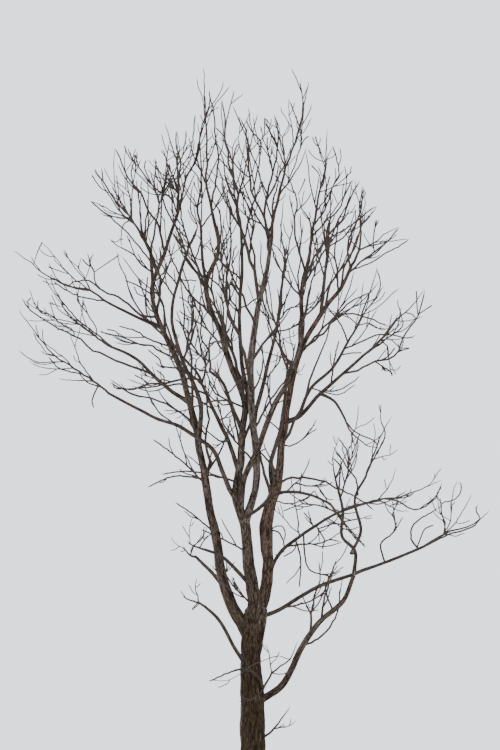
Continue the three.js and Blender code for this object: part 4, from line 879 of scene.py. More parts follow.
# Where each kind of thing starts its seeds and keys
TRUNK_SEED = 11
LIMB_SEED, LIMB_SEED_STEP = 100, 10
GROWN_KEY, SHOWN_KEY = 7000, 9000
FINER_LEADER_DRAW = 500
MASK = 0xFFFFFFFF

# Colours of bark: limb radii between which twig bark turns to bough bark, radii and heights between which the
# stems' bark takes the trunk's darker, warmer colour, which is painted shade from the leafy trees around it with a
# painted warm cast of the light their leaves reflect, and heights in the relief between which furrows turn to ridges
TWIG_RADII = (0.012, 0.07)
TRUNK_SHADE_RADII = (0.05, 0.15)
TRUNK_SHADE_HEIGHTS = (7.0, 3.6)
RIDGE_HEIGHTS = (0.05, 0.75)
FIBRE_STRETCH, MOTTLE_STRETCH = 0.16, 0.22  # how many noises fit along the limb for one across it
FIBRE_RANGE, MOTTLE_RANGE = (0.3, 0.7), (0.32, 0.68)
BARK_SPECULAR = 0.08

LAMP_TILT, LAMP_TURN = math.radians(48), math.radians(-62)
FLOOR_SIDES = 96


def times(one, other):
    """The product of whole numbers, kept to 32 bits."""
    return (np.asarray(one, np.uint64) * np.asarray(other, np.uint64)) & np.uint64(MASK)


def chance(key, index):
    """A number from 0 to 1 that depends on the two whole numbers alone, for arrays of them at once."""
    counted = times(np.asarray(index, np.uint64) + np.uint64(1), 0x9E3779B1)
    mixed = times(np.asarray(key, np.uint64) ^ counted, 0x85EBCA6B)
    mixed = times(mixed ^ (mixed >> np.uint64(13)), 0xC2B2AE35)
    mixed = mixed ^ (mixed >> np.uint64(16))
    return mixed.astype(float) / 2.0**32


def key_of(key, index):
    """The key of what grows at place index on the thing whose key is given."""
    return times(np.asarray(key, np.uint64) ^ (np.asarray(index, np.uint64) + np.uint64(1)), 0x01000193)


def noise(at, seed):
    """Smooth seeded noise from -1 to 1: a seeded number at each corner of a unit lattice, blended between."""
    base = np.floor(at).astype(np.int64)
    part = at - base
    ease = part * part * (3 - 2 * part)
    total = 0.0
    for corner in itertools.product((0, 1), repeat=3):
        lattice = np.moveaxis((base + corner) & MASK, -1, 0)
        key = times(lattice[0], 73856093) ^ times(lattice[1], 19349663) ^ times(lattice[2], 83492791)
        weight = np.prod(np.where(corner, ease, 1 - ease), axis=-1)
        total = total + weight * chance(key, seed)
    return 2 * total - 1


def strays(key, count, first=0):
    """How far each of count points strays each way, from -1 to 1, by the key's draws from first on."""
    return 2 * chance(key, first + np.arange(3 * count).reshape(-1, 3)) - 1


def unit(vectors):
    """The vectors at length one."""
    return vectors / np.linalg.norm(vectors, axis=-1, keepdims=True)


def seen(points):
    """The points that the eye sees at across and up, at a depth behind the trunk's axis."""
    across, up, depth = np.moveaxis(np.asarray(points, float), -1, 0)
    ray = GAZE * GAZE_LENGTH + (up - GAZE_HEIGHT)[..., None] * GAZE_UP
    ray[..., 0] += across
    return EYE + ray * ((VIEW_DISTANCE + depth) / ray[..., 1])[..., None]


def view_of(points):
    """Where the eye sees the points: across and up."""
    ray = points - EYE
    scale = GAZE_LENGTH / (ray @ GAZE)
    return np.stack([ray[..., 0] * scale, (ray @ GAZE_UP) * scale + GAZE_HEIGHT], axis=-1)


def curve_at(knots, shares):
    """The centripetal Catmull-Rom curve through the knots.

    Between two knots it is the cubic whose end slopes come from the knots before and after them, each step
    timed by the square root of its length.
    """
    knots = np.asarray(knots)
    padded = np.vstack([2 * knots[0] - knots[1], knots, 2 * knots[-1] - knots[-2]])
    at = shares * (len(knots) - 1)
    step = np.minimum(at.astype(int), len(knots) - 2)
    part = (at - step)[:, None]
    before, here, there, after = (padded[step + i] for i in range(4))
    first, middle, last = (
        np.sqrt(np.linalg.norm(b - a, axis=1, keepdims=True))
        for a, b in ((before, here), (here, there), (there, after))
    )
    leave = ((here - before) / first - (there - before) / (first + middle) + (there - here) / middle) * middle
    arrive = ((there - here) / middle - (after - here) / (middle + last) + (after - there) / last) * middle
    square = -3 * here + 3 * there - 2 * leave - arrive
    cube = 2 * here - 2 * there + leave + arrive
    return here + leave * part + square * part**2 + cube * part**3


def lengths_along(line):
    """The length from the start of a line to each of its points."""
    return np.concatenate([[0.0], np.cumsum(np.linalg.norm(np.diff(line, axis=0), axis=1))])


def evenly(knots, steps_of):
    """Points in steps_of(length) even steps along the curve through the knots, and the curve's length."""
    shares = np.linspace(0, 1, CURVE_SAMPLES)
    along = lengths_along(curve_at(knots, shares))
    wanted = np.linspace(0, along[-1], steps_of(along[-1]) + 1)
    return curve_at(knots, np.interp(wanted, along, shares)), along[-1]


def headings(lines):
    """The direction at each point of lines (..., point, 3): from the point before it to the one after it."""
    before = np.concatenate([lines[..., :1, :], lines[..., :-1, :]], axis=-2)
    after = np.concatenate([lines[..., 1:, :], lines[..., -1:, :]], axis=-2)
    return unit(after - before)


def sideways(directions):
    """One unit vector square to each direction, turned from point to point as little as the bends allow."""
    side = np.where(np.abs(directions[..., 0, :1]) < 0.9, [1.0, 0.0, 0.0], [0.0, 1.0, 0.0])
    sides = []
    for point in range(directions.shape[-2]):
        ahead = directions[..., point, :]
        side = unit(side - np.sum(side * ahead, axis=-1, keepdims=True) * ahead)
        sides.append(side)
    return np.stack(sides, axis=-2)


def spread(values, shares):
    """Values read from a list that is spread evenly from share 0 to share 1."""
    return np.interp(shares, np.linspace(0, 1, len(values)), values)


def gaps(points, starts, ends):
    """The distance from each point to each straight piece, as an array (point, piece)."""
    step = ends - starts
    offset = points[:, None, :] - starts
    part = np.clip(np.sum(offset * step, axis=-1) / np.sum(step * step, axis=-1), 0, 1)
    return np.linalg.norm(offset - part[..., None] * step, axis=-1)


def whole(value):
    """The nearest whole number."""
    return int(value + 0.5)


def nearest_seen(line, place):
    """Where the eye sees a line pass nearest to a place: the point, its share of the line and how far off."""
    shares = np.arange(PARENT_SAMPLES + 1) / PARENT_SAMPLES
    places = shares * (len(line) - 1)
    step = np.minimum(places.astype(int), len(line) - 2)
    part = (places - step)[:, None]
    candidates = line[step] * (1 - part) + line[step + 1] * part
    apart = np.linalg.norm(view_of(candidates) - place, axis=1)
    best = np.argmin(apart)
    return candidates[best], shares[best], apart[best]


@functools.cache
def limbs():
    """The trunk's axis and every limb, by name, each starting on its parent's line where the table says."""
    axis = np.array([(across, 0.0, up) for up, _, _, across in TRUNK_STATIONS[:-1]])
    widths = tuple(width for _, width, _, _ in TRUNK_STATIONS[:-1])
    made = {"trunk": Limb(axis, axis, np.array(widths), widths)}
    for name, parent, path, widths in LIMBS:
        knots = np.vstack([nearest_seen(made[parent].line, path[0])[0], seen(path[1:])])
        rings, length = evenly(knots, lambda size: max(LIMB_STEPS_LEAST, whole(size / LIMB_STEP)))
        shares = np.linspace(0, 1, len(rings))
        swell = 1 + COLLAR_SWELL * np.exp(-shares * length / (COLLAR_REACH * widths[0]))
        made[name] = Limb(knots, rings, spread(widths, shares) * swell, widths)
    return made


def limb_number(name):
    """A limb's number, counted from the trunk's 0."""
    return list(limbs()).index(name)


def leader_line(start, heading, tip, key):
    """A leader's nodes: a cubic that sets off along heading and ends at tip turned up, with seeded crooks."""
    chord = tip - start
    length = np.linalg.norm(chord)
    steps = int(np.clip(whole(length / LEADER_STEP), LEADER_STEPS_LEAST, LEADER_STEPS_MOST))
    leave = heading * LEADER_PULL * length
    arrive = unit(chord * (1 - LEADER_RISE) / length + UP * LEADER_RISE) * LEADER_PULL * length
    t = np.linspace(0, 1, steps + 1)[:, None]
    line = start * (1 + 2 * t) * (1 - t) ** 2 + leave * t * (1 - t) ** 2
    line = line + tip * t * t * (3 - 2 * t) + arrive * t * t * (t - 1)
    line[1:-1] += strays(key, len(line))[1:-1] * LEADER_CROOK * length / steps
    return line


def fork_node(stem, directions, tip, forked):
    """The stem's node from which a leader to tip is nearest to the fork angle, best where none forks yet."""
    best, best_gap = 1, math.inf
    for node in range(1, len(stem) - 1):
        if not FORK_FIRST <= node / (len(stem) - 1) <= FORK_LAST:
            continue
        angle = math.acos(float(np.clip(directions[node] @ unit(tip - stem[node]), -1, 1)))
        gap = abs(angle - FORK_ANGLE) + (FORK_CROWDING if node in forked else 0)
        if gap < best_gap:
            best, best_gap = node, gap
    return best


@functools.cache
def leaders():
    """Every mass's leaders: its stem to the first tip, and one from a node of it to each of the others."""
    grown = []
    for number, (name, parent, tips) in enumerate(MASSES):
        limb = limbs()[parent]
        key = key_of(number + 1, 0)
        first, *others = seen(tips)
        if name in TRUNK_BASES:
            start = seen(TRUNK_BASES[name])
            heading = unit(first - start)
            radius = TRUNK_STEM_RADIUS
        else:
            heading = headings(limb.line)[-1]
            start = limb.line[-1] + heading * CLEARANCE
            radius = limb.radii[-1]
        stem = leader_line(start, heading, first, key)
        stem_radii = np.linspace(radius, TIP_RADIUS, len(stem))
        directions = headings(stem)
        grown.append(Leader(stem, stem_radii, key, number))
        forked = []
        for place, tip in enumerate(others):
            node = fork_node(stem, directions, tip, forked)
            forked.append(node)
            leader_key = key_of(key, place + 1)
            heading = unit(unit(tip - stem[node]) + directions[node])
            line = leader_line(stem[node], heading, tip, leader_key)
            radii = np.linspace(stem_radii[node] * FORK_TAPER, TIP_RADIUS, len(line))
            grown.append(Leader(line, radii, leader_key, number))
    return grown


@functools.cache
def spaces():
    """The lowest and highest corner of each mass's space: the box round its leaders, widened sideways."""
    widen = SPACE_REACH * np.array([1.0, 1.0, 0.0])
    lows, highs = [], []
    for number in range(len(MASSES)):
        points = np.vstack([leader.line for leader in leaders() if leader.mass == number])
        lows.append(points.min(axis=0) - widen)
        highs.append(points.max(axis=0) + widen)
    return np.array(lows), np.array(highs)


def in_space(points, owners):
    """Whether all points of each twig (twig, point, 3) lie in its mass's space, if it belongs to one."""
    lows, highs = spaces()
    number = np.minimum(owners, len(MASSES) - 1)
    inside = (points >= lows[number][:, None]) & (points <= highs[number][:, None])
    return np.all(inside, axis=(1, 2)) | (owners >= len(MASSES))


def in_box(points):
    """Whether all points of each twig keep the margin from the borders of the tree's own box."""
    return np.all((points > CAD_LOW + BOX_MARGIN) & (points < CAD_HIGH - BOX_MARGIN), axis=(1, 2))


def in_crown(points):
    """Whether all points of each twig lie in the crown.

    Seen by the eye, a point lies between the outline's left and right at its height. From above, it lies in
    the ellipse that is as wide as that and CROWN_DEPTH times as deep.
    """
    across, up = np.moveaxis(view_of(points), -1, 0)
    heights, lefts, rights = np.array(CROWN_OUTLINE).T
    left, right = np.interp(up, heights, lefts), np.interp(up, heights, rights)
    half = (right - left) / 2
    off_middle = (across - (left + right) / 2) / half
    off_depth = points[..., 1] / (half * CROWN_DEPTH)
    return np.all(off_middle**2 + off_depth**2 < 1, axis=1)


def fits(twigs):
    """Whether each twig keeps to its mass's space, or to the crown if it grows on a side bough."""
    on_limb = twigs.owners >= len(MASSES)
    return in_box(twigs.lines) & np.where(on_limb, in_crown(twigs.lines), in_space(twigs.lines, twigs.owners))


def pieces_of(lines):
    """The straight pieces of several lines: their starts and their ends."""
    return np.vstack([line[:-1] for line in lines]), np.vstack([line[1:] for line in lines])


def clear_of_limbs(points):
    """Whether all points of each twig keep the margin from the trunk and every limb."""
    kept = np.ones(points.shape[:2], bool)
    for limb in limbs().values():
        apart = gaps(points.reshape(-1, 3), limb.line[:-1], limb.line[1:]).min(axis=1)
        kept &= apart.reshape(points.shape[:2]) > limb.radii[0] + LIMB_MARGIN
    return kept.all(axis=1)


def nearest_its_own(points, masses):
    """Whether all points of each twig are nearer to its own mass's leaders than to others, by the margin."""
    starts, ends = pieces_of([leader.line for leader in leaders()])
    owners = np.concatenate([[leader.mass] * (len(leader.line) - 1) for leader in leaders()])
    apart = gaps(points.reshape(-1, 3), starts, ends)
    own = owners == np.repeat(masses, points.shape[1])[:, None]
    own_gap = np.where(own, apart, np.inf).min(axis=1)
    other_gap = np.where(own, np.inf, apart).min(axis=1)
    return (other_gap > own_gap + 2 * SPACE_MARGIN).reshape(points.shape[:2]).all(axis=1)


def offshoots(parents, growth, nodes):
    """The side twigs of many parents at once, at the share of the nodes that the growth and the keys give.

    A twig leaves at an angle to its parent, and from node to node the turn round the parent grows by the same
    angle. It keeps that heading at first and turns up in its middle, and its steps stray a little by its key.
    """
    line, radii, keys = parents.lines, parents.radii, parents.keys
    steps = line.shape[1] - 1
    directions = headings(line)
    side = sideways(directions)
    length = np.linalg.norm(np.diff(line, axis=1), axis=2).sum(axis=1)
    least_angle, angle_spread = math.radians(growth.angle), math.radians(growth.angle_spread)
    born = []
    for node in nodes:
        twig_key = key_of(keys, growth.salt + node)
        share = growth.length + growth.length_spread * chance(twig_key, 2)
        reach = np.minimum(share * (1 - growth.shortens * node / steps) * length, growth.length_most)
        kept = (chance(twig_key, 0) <= growth.share) & (reach > growth.least)
        if not kept.any():
            continue
        own_key, reach, ahead, across = twig_key[kept], reach[kept], directions[kept, node], side[kept, node]
        angle = least_angle + angle_spread * chance(own_key, 1)
        turn = TWIG_TURN * node + 2 * math.pi * chance(keys[kept], 0)
        along = np.cross(ahead, across)
        heading = ahead * np.cos(angle)[:, None] + across * (np.sin(angle) * np.cos(turn))[:, None]
        heading = heading + along * (np.sin(angle) * np.sin(turn))[:, None]
        outer = unit(heading + UP * growth.rise)
        step = np.arange(growth.points - 1)[:, None]
        turned = np.clip((2 * step + 1) / (growth.points - 1) - 0.5, 0, 1)
        stretch = heading[:, None] * (1 - turned) + outer[:, None] * turned
        stray = 2 * chance(own_key[:, None, None], 3 + 3 * (step // KINK_STEPS) + np.arange(3)) - 1
        stretch = unit(stretch + growth.crook * stray) * (reach / (growth.points - 1))[:, None, None]
        start = line[kept, node][:, None]
        lines = np.concatenate([start, start + np.cumsum(stretch, axis=1)], axis=1)
        base = np.maximum(radii[kept, node] * growth.taper, growth.tip)[:, None]
        widths = base + (growth.tip - base) * np.linspace(0, 1, growth.points)
        born.append(Twigs(lines, widths, own_key, parents.owners[kept]))
    none = Twigs(np.zeros((0, growth.points, 3)), np.zeros((0, growth.points)), keys[:0], parents.owners[:0])
    return together(born) if born else none


def together(groups):
    """Several groups of twigs with equally many points as one."""
    return Twigs(*map(np.concatenate, zip(*groups)))


def picked(twigs, kept):
    """The twigs for which kept is true."""
    return Twigs(*(values[kept] for values in twigs))


def alone(line, radii, key, owner):
    """One line as a group of twigs."""
    return Twigs(line[None], radii[None], np.array([key], np.uint64), np.array([owner]))


def turns(sides):
    """Cosine and sine of evenly spaced turns, one for each side."""
    turn = 2 * math.pi * np.arange(sides) / sides
    return np.cos(turn), np.sin(turn)


def ring_faces(rings, sides):
    """Quads between the rings, and triangles that close the first ring and the last to their end points.

    Points are numbered ring x sides + side, and the first ring's end point and the last's follow them all.
    """
    ring, side = np.meshgrid(np.arange(rings - 1), np.arange(sides), indexing="ij")
    here = ring * sides + side
    there = ring * sides + (side + 1) % sides
    quads = np.stack([here, there, there + sides, here + sides], axis=-1).reshape(-1, 4)
    side = np.arange(sides)
    beside = (side + 1) % sides
    top = (rings - 1) * sides
    base_point = np.full(sides, rings * sides)
    triangles = np.concatenate([
        np.stack([base_point, beside, side], axis=-1),
        np.stack([top + side, top + beside, base_point + 1], axis=-1),
    ])
    return quads, triangles


def skin(centres, side, other, reach, tip, values):
    """A closed skin round a line: centre + reach x (side x cos turn + other x sin turn), with its values."""
    cos, sin = turns(reach.shape[1])
    outward = side[:, None] * cos[:, None] + other[:, None] * sin[:, None]
    rings = centres[:, None] + reach[..., None] * outward
    quads, triangles = ring_faces(*reach.shape)
    return Surface(np.vstack([rings.reshape(-1, 3), centres[0], tip]), quads, triangles, values)


def tubes(twigs, sides):
    """Closed round tubes along many lines at once: each ring square to its line, and the last point a tip."""
    count, points = twigs.radii.shape
    directions = headings(twigs.lines)
    side = sideways(directions)
    other = np.cross(directions, side)
    cos, sin = turns(sides)
    outward = side[:, :-1, None] * cos[:, None] + other[:, :-1, None] * sin[:, None]
    rings = twigs.lines[:, :-1, None] + twigs.radii[:, :-1, None, None] * outward
    ends = twigs.lines[:, [0, -1]]
    flat = np.concatenate([rings.reshape(count, -1, 3), ends], axis=1)
    quads, triangles = ring_faces(points - 1, sides)
    shift = (np.arange(count) * flat.shape[1])[:, None, None]
    around = np.repeat(twigs.radii[:, :-1], sides, axis=1)
    thickness = np.concatenate([around, twigs.radii[:, [0, -1]]], axis=1)
    return Surface(
        flat.reshape(-1, 3),
        (quads + shift).reshape(-1, 4),
        (triangles + shift).reshape(-1, 3),
        {"thickness": thickness.reshape(-1)},
    )


def joined(surfaces):
    """Several surfaces as one."""
    shift = np.cumsum([0] + [len(surface.points) for surface in surfaces[:-1]])
    names = surfaces[0].values
    return Surface(
        np.concatenate([surface.points for surface in surfaces]),
        np.concatenate([surface.quads + by for surface, by in zip(surfaces, shift)]),
        np.concatenate([surface.triangles + by for surface, by in zip(surfaces, shift)]),
        {name: np.concatenate([surface.values[name] for surface in surfaces]) for name in names},
    )


def piece(name, surface, material, slot, replaces=()):
    """A smooth mesh object from a surface, riding on the tree and standing for the nodes that it replaces."""
    mesh = bpy.data.meshes.new(name)
    corners = np.concatenate([surface.quads.reshape(-1), surface.triangles.reshape(-1)]).astype(np.int32)
    sizes = np.concatenate([np.full(len(surface.quads), 4), np.full(len(surface.triangles), 3)])
    mesh.vertices.add(len(surface.points))
    mesh.vertices.foreach_set("co", surface.points.astype(np.float32).reshape(-1))
    mesh.loops.add(len(corners))
    mesh.loops.foreach_set("vertex_index", corners)
    mesh.polygons.add(len(sizes))
    mesh.polygons.foreach_set("loop_start", np.concatenate([[0], np.cumsum(sizes)[:-1]]).astype(np.int32))
    mesh.update(calc_edges=True)
    mesh.shade_smooth()
    for value, numbers in surface.values.items():
        vector = numbers.ndim == 2
        attribute = mesh.attributes.new(value, "FLOAT_VECTOR" if vector else "FLOAT", "POINT")
        attribute.data.foreach_set("vector" if vector else "value", numbers.astype(np.float32).reshape(-1))
    mesh.materials.append(material)
    made = bpy.data.objects.new(name, mesh)
    bpy.context.scene.collection.objects.link(made)
    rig.ride(made, "root")
    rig.slot(made, slot)
    if replaces:
        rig.replaces(made, *replaces)


def relief(place, seed):
    """How high the bark stands at each place, from 0 in a furrow to 1 on a ridge.

    The place is counted in furrow widths. The furrows are where a noise of it, bent by a slower noise, passes
    zero, and a finer noise roughens the ridges.
    """
    bent = place + BEND_REACH * noise(place * BEND_COUNT, seed)[..., None]
    plates = np.clip(np.abs(noise(bent, seed + 1)) * FURROW_SHARPNESS, 0, 1) ** RIDGE_POWER
    rough = 0.5 + 0.5 * noise(bent * ROUGH_COUNT, seed + 2)
    return np.clip(RIDGE_SHARE * plates + ROUGH_SHARE * rough, 0, 1)


def barked(centres, side, other, radii, along, bark, seed, quiet=1.0):
    """The skin of a trunk or limb with its bark's relief.

    radii is (ring, turn). Slow noise makes the wood uneven by a share of the radius, and the relief stands
    out of that by the furrows' depth, less where quiet is below 1.
    """
    cos, sin = turns(radii.shape[1])
    lengthways = np.broadcast_to(along[:, None], radii.shape)
    round_place = np.stack([radii * cos, radii * sin, lengthways], axis=-1)
    whole_turn = np.ones_like(radii)
    slow = np.stack([cos * whole_turn, sin * whole_turn, lengthways / bark.lump_length], axis=-1)
    finer_share, finer_count = UNEVEN_FINER
    uneven = noise(slow, seed + 3) + finer_share * noise(slow * finer_count, seed + 4)
    height = relief(round_place / bark.furrow_width / [1.0, 1.0, bark.furrow_stretch], seed)
    depth = np.minimum(bark.furrow_depth, bark.furrow_share * radii)
    reach = radii * (1 + bark.unevenness * uneven * quiet) + depth * (height - RELIEF_LEVEL) * quiet
    ends = np.array([[0.0, 0.0, along[0]], [0.0, 0.0, along[-1]]])
    values = {
        "bark_place": np.vstack([round_place.reshape(-1, 3), ends]),
        "bark_height": np.append(height.reshape(-1), [0.5, 0.5]),
        "thickness": np.append(radii.reshape(-1), [radii[0].mean(), radii[-1].mean()]),
    }
    return skin(centres, side, other, reach, centres[-1], values)


def trunk_surface(bark):
    """The trunk: level rings of half width x cos and half depth x sin, and the root swellings at its foot.

    A swelling stands out of the trunk by the flare, which dies away with height, times the lobes round it.
    """
    ups, half_widths, half_depths, leans = np.array(TRUNK_STATIONS).T
    up = np.linspace(0, ups[-1], bark.trunk_rings)
    cos, sin = turns(bark.trunk_sides)
    turn = 2 * math.pi * np.arange(bark.trunk_sides) / bark.trunk_sides
    lobes = 0.5 + 0.5 * np.cos(ROOT_COUNT * turn + ROOT_SWAY * np.sin(2 * turn))
    flare = ROOT_FLARE * np.exp(-up / ROOT_FLARE_HEIGHT)[:, None] * (ROOT_HOLLOW + (1 - ROOT_HOLLOW) * lobes)
    measures = (half_widths, half_depths, leans)
    width, depth, lean = (np.interp(up, ups, values)[:, None] for values in measures)
    radii = np.hypot((width + flare) * cos, (depth + flare) * sin)
    centres = np.column_stack([lean[:, 0], np.zeros_like(up), up])
    side = np.tile([1.0, 0.0, 0.0], (len(up), 1))
    other = np.tile([0.0, 1.0, 0.0], (len(up), 1))
    return barked(centres, side, other, radii, up, bark, TRUNK_SEED)


def limb_surface(name, bark):
    """A limb: round rings along the curve through its path, swollen at its base and bent by slow noise."""
    limb = limbs()[name]
    seed = LIMB_SEED + LIMB_SEED_STEP * limb_number(name)
    thick = limb.widths[0]
    ring_step = np.clip(RING_STEP * thick, RING_STEP_LEAST, RING_STEP_MOST)
    line, length = evenly(limb.knots, lambda size: whole(size / ring_step))
    shares = np.linspace(0, 1, len(line))
    along = shares * length
    radius = spread(limb.widths, shares)
    held = np.clip(np.minimum(along, length - along) / HELD_LENGTH, 0, 1)
    wander = np.stack([along / WANDER_LENGTH, np.full_like(along, seed), np.zeros_like(along)], axis=-1)
    stray = np.stack([noise(wander + [0, 0, axis], seed + 5 + axis) for axis in range(3)], axis=-1)
    line = line + stray * (bark.limb_stray * radius * held)[:, None]
    swell = 1 + COLLAR_SWELL * np.exp(-along / (COLLAR_REACH * thick))
    directions = headings(line)
    side = sideways(directions)
    sides = 4 * whole(2 * math.pi * thick / bark.limb_side / 4)
    radii = np.repeat((radius * swell)[:, None], sides, axis=1)
    quiet = np.clip((length - along) / QUIET_LENGTH, 0, 1)[:, None]
    return barked(line, side, np.cross(directions, side), radii, along, bark, seed, quiet)


def finer_leader(leader):
    """A leader with more points: the curve through its nodes, strayed a little and thicker at the nodes."""
    steps = len(leader.line) - 1
    shares = np.linspace(0, 1, steps * LEADER_PARTS + 1)
    line = curve_at(leader.line, shares)
    step = np.linalg.norm(line[-1] - line[0]) / (len(line) - 1)
    line[1:-1] += strays(leader.key, len(line), FINER_LEADER_DRAW)[1:-1] * LEADER_STRAY * step
    radii = spread(leader.radii, shares)
    radii[LEADER_PARTS:-1:LEADER_PARTS] *= LEADER_KNUCKLE
    radii[-1] = FINE_TIP
    return alone(line, radii, leader.key, leader.mass)


def shown_side_boughs(stems):
    """The side boughs of the table: smooth lines whose depth runs evenly to the tip's, strayed a little.

    The base radius grows with the length, up to a share of the radius that the bough leaves.
    """
    made = []
    for name, rows in SIDE_BOUGHS.items():
        limb = limbs()[name]
        owner = len(MASSES) + limb_number(name)
        carriers = [(limb.line, limb.radii)]
        carriers += [(stem.lines[0], stem.radii[0]) for stem in stems if MASSES[stem.owners[0]][1] == name]
        for depth, path, *given in rows:
            found = [(*nearest_seen(line, path[0]), radii) for line, radii in carriers]
            start, share, _, left_radii = min(found, key=lambda place: place[2])
            along = lengths_along(np.array(path))
            depths = start[1] + (depth - start[1]) * along / along[-1]
            knots = np.vstack([start, seen(np.column_stack([path, depths])[1:])])
            line, length = evenly(knots, lambda size: SIDE_POINTS - 1)
            base = min(SIDE_THIN + SIDE_STOUT * length, SIDE_SHARE * spread(left_radii, share))
            radii = np.linspace(given[0] if given else base, SIDE_TIP, SIDE_POINTS)
            key = key_of(SHOWN_KEY + len(made), 0)
            line[1:-1] += strays(key, SIDE_POINTS)[1:-1] * SIDE_STRAY * length / SIDE_POINTS
            made.append(alone(line, radii, key, owner))
            carriers.append((line, radii))
    return together(made)


def grown_side_boughs():
    """The side boughs that the rule grows along every limb but the trunk, where they reach along the gaze.

    With those that show in the view they make the crown as full from the side as from the front.
    """
    made = []
    for number, (name, limb) in enumerate(limbs().items()):
        if name == "trunk":
            continue
        line, _ = evenly(limb.knots, lambda size: max(SIDE_STEPS_LEAST, whole(size / SIDE_SPACING)))
        radii = spread(limb.widths, np.linspace(0, 1, len(line)))
        parent = alone(line, radii, key_of(GROWN_KEY + number, 0), len(MASSES) + number)
        first = max(1, whole(SIDE_FIRST * (len(line) - 1)))
        last = whole(SIDE_LAST * (len(line) - 1))
        shoots = offshoots(parent, SIDE_GROWTH, range(first, last))
        reach = shoots.lines[:, -1] - shoots.lines[:, 0]
        deep = np.abs(reach[:, 1]) > SIDE_DEEP * np.linalg.norm(reach, axis=1)
        inside = in_box(shoots.lines) & in_crown(shoots.lines)
        made.append(picked(shoots, deep & inside & clear_of_limbs(shoots.lines[:, SIDE_FREE_FROM:])))
    return together(made)


@functools.cache
def crown():
    """The leaders, the side boughs, and the orders of twigs, each grown from the one before it.

    The first order is the solids' own side twigs, those between them and those of the side boughs.
    """
    first = []
    for leader in leaders():
        nodes = range(1, len(leader.line) - 1)
        parent = alone(leader.line, leader.radii, leader.key, leader.mass)
        solid = offshoots(parent, SOLID_TWIGS, nodes)
        if len(solid.keys):
            ends = solid.lines[:, 1:]
            kept = in_space(ends, solid.owners) & nearest_its_own(ends, solid.owners) & clear_of_limbs(ends)
            first.append(picked(offshoots(parent, FIRST_TWIGS, nodes), kept))
    stems = [finer_leader(leader) for leader in leaders()]
    shown, grown = shown_side_boughs(stems), grown_side_boughs()
    carriers = [(stem, BETWEEN_TWIGS, 2) for stem in stems]
    carriers += [(shown, SHOWN_TWIGS, 1), (grown, SIDE_TWIGS, 1)]
    for parents, growth, step in carriers:
        shoots = offshoots(parents, growth, range(2, parents.lines.shape[1] - 1, step))
        first.append(picked(shoots, clear_of_limbs(shoots.lines[:, FREE_FROM:])))
    first = together(first)
    orders = [picked(first, fits(first))]
    for growth in FINER_TWIGS:
        shoots = offshoots(orders[-1], growth, range(1, orders[-1].lines.shape[1] - 1))
        orders.append(picked(shoots, fits(shoots)))
    return stems, together([shown, grown]), orders


def crown_surface(owner):
    """What grew in one mass or on one limb, as tubes: its leaders or side boughs, and every finer order."""
    stems, side_boughs, orders = crown()
    surfaces = [tubes(stem, LEADER_SIDES) for stem in stems if stem.owners[0] == owner]
    for order, sides in zip([side_boughs, *orders], ORDER_SIDES):
        own = picked(order, order.owners == owner)
        if len(own.keys):
            surfaces.append(tubes(own, sides))
    return joined(surfaces) if surfaces else None


def socket(group, name, kind, in_out, default=None):
    """A named socket on a node group."""
    made = group.interface.new_socket(name=name, in_out=in_out, socket_type=kind)
    if default is not None:
        made.default_value = default


def node(tree, kind, values=None, **settings):
    """A node with its settings, and with values or links for its named or numbered inputs."""
    made = tree.nodes.new(kind)
    for name, value in settings.items():
        setattr(made, name, value)
    for name, value in (values or {}).items():
        if isinstance(value, bpy.types.NodeSocket):
            tree.links.new(value, made.inputs[name])
        else:
            made.inputs[name].default_value = value
    return made


def ramp(tree, value, low, high):
    """The value taken to 0 at low and to 1 at high, smoothly between."""
    made = node(tree, "ShaderNodeMapRange", {"Value": value, "From Min": low, "From Max": high})
    made.interpolation_type = "SMOOTHSTEP"
    return made.outputs["Result"]


def blend(tree, share, one, other):
    """The colour one where share is 0, and other where it is 1: inputs 6 and 7 of a colour mix."""
    return node(tree, "ShaderNodeMix", {0: share, 6: one, 7: other}, data_type="RGBA").outputs[2]


def product(tree, one, other):
    """One value times another."""
    return node(tree, "ShaderNodeMath", {0: one, 1: other}, operation="MULTIPLY").outputs[0]


def carried(tree, name, output="Fac"):
    """A value that the surface's points carry."""
    return node(tree, "ShaderNodeAttribute", attribute_name=name).outputs[output]


def bark_grain():
    """The group for bark: long fibres along the limb, and slow streaks, both from 0 to 1."""
    if "Bark grain" in bpy.data.node_groups:
        return bpy.data.node_groups["Bark grain"]
    group = bpy.data.node_groups.new("Bark grain", "ShaderNodeTree")
    socket(group, "Place", "NodeSocketVector", "INPUT")
    socket(group, "Fibre Count", "NodeSocketFloat", "INPUT", 60.0)
    socket(group, "Mottle Count", "NodeSocketFloat", "INPUT", 4.0)
    socket(group, "Fibre", "NodeSocketFloat", "OUTPUT")
    socket(group, "Mottle", "NodeSocketFloat", "OUTPUT")
    given = group.nodes.new("NodeGroupInput")
    result = group.nodes.new("NodeGroupOutput")
    streaks = (
        ("Fibre", FIBRE_STRETCH, FIBRE_RANGE, {"Detail": 5.0, "Roughness": 0.65}),
        ("Mottle", MOTTLE_STRETCH, MOTTLE_RANGE, {"Detail": 4.0, "Roughness": 0.6}),
    )
    for name, stretch, span, finish in streaks:
        place = {"Vector": given.outputs["Place"], "Scale": (1.0, 1.0, stretch)}
        drawn = node(group, "ShaderNodeMapping", place)
        values = {"Vector": drawn.outputs[0], "Scale": given.outputs[name + " Count"], **finish}
        pattern = node(group, "ShaderNodeTexNoise", values)
        group.links.new(ramp(group, pattern.outputs[0], *span), result.inputs[name])
    return group


def new_material(name):
    """A new material, its node tree and its shader."""
    material = bpy.data.materials.new(name)
    material.use_nodes = True
    return material, material.node_tree, material.node_tree.nodes["Principled BSDF"]


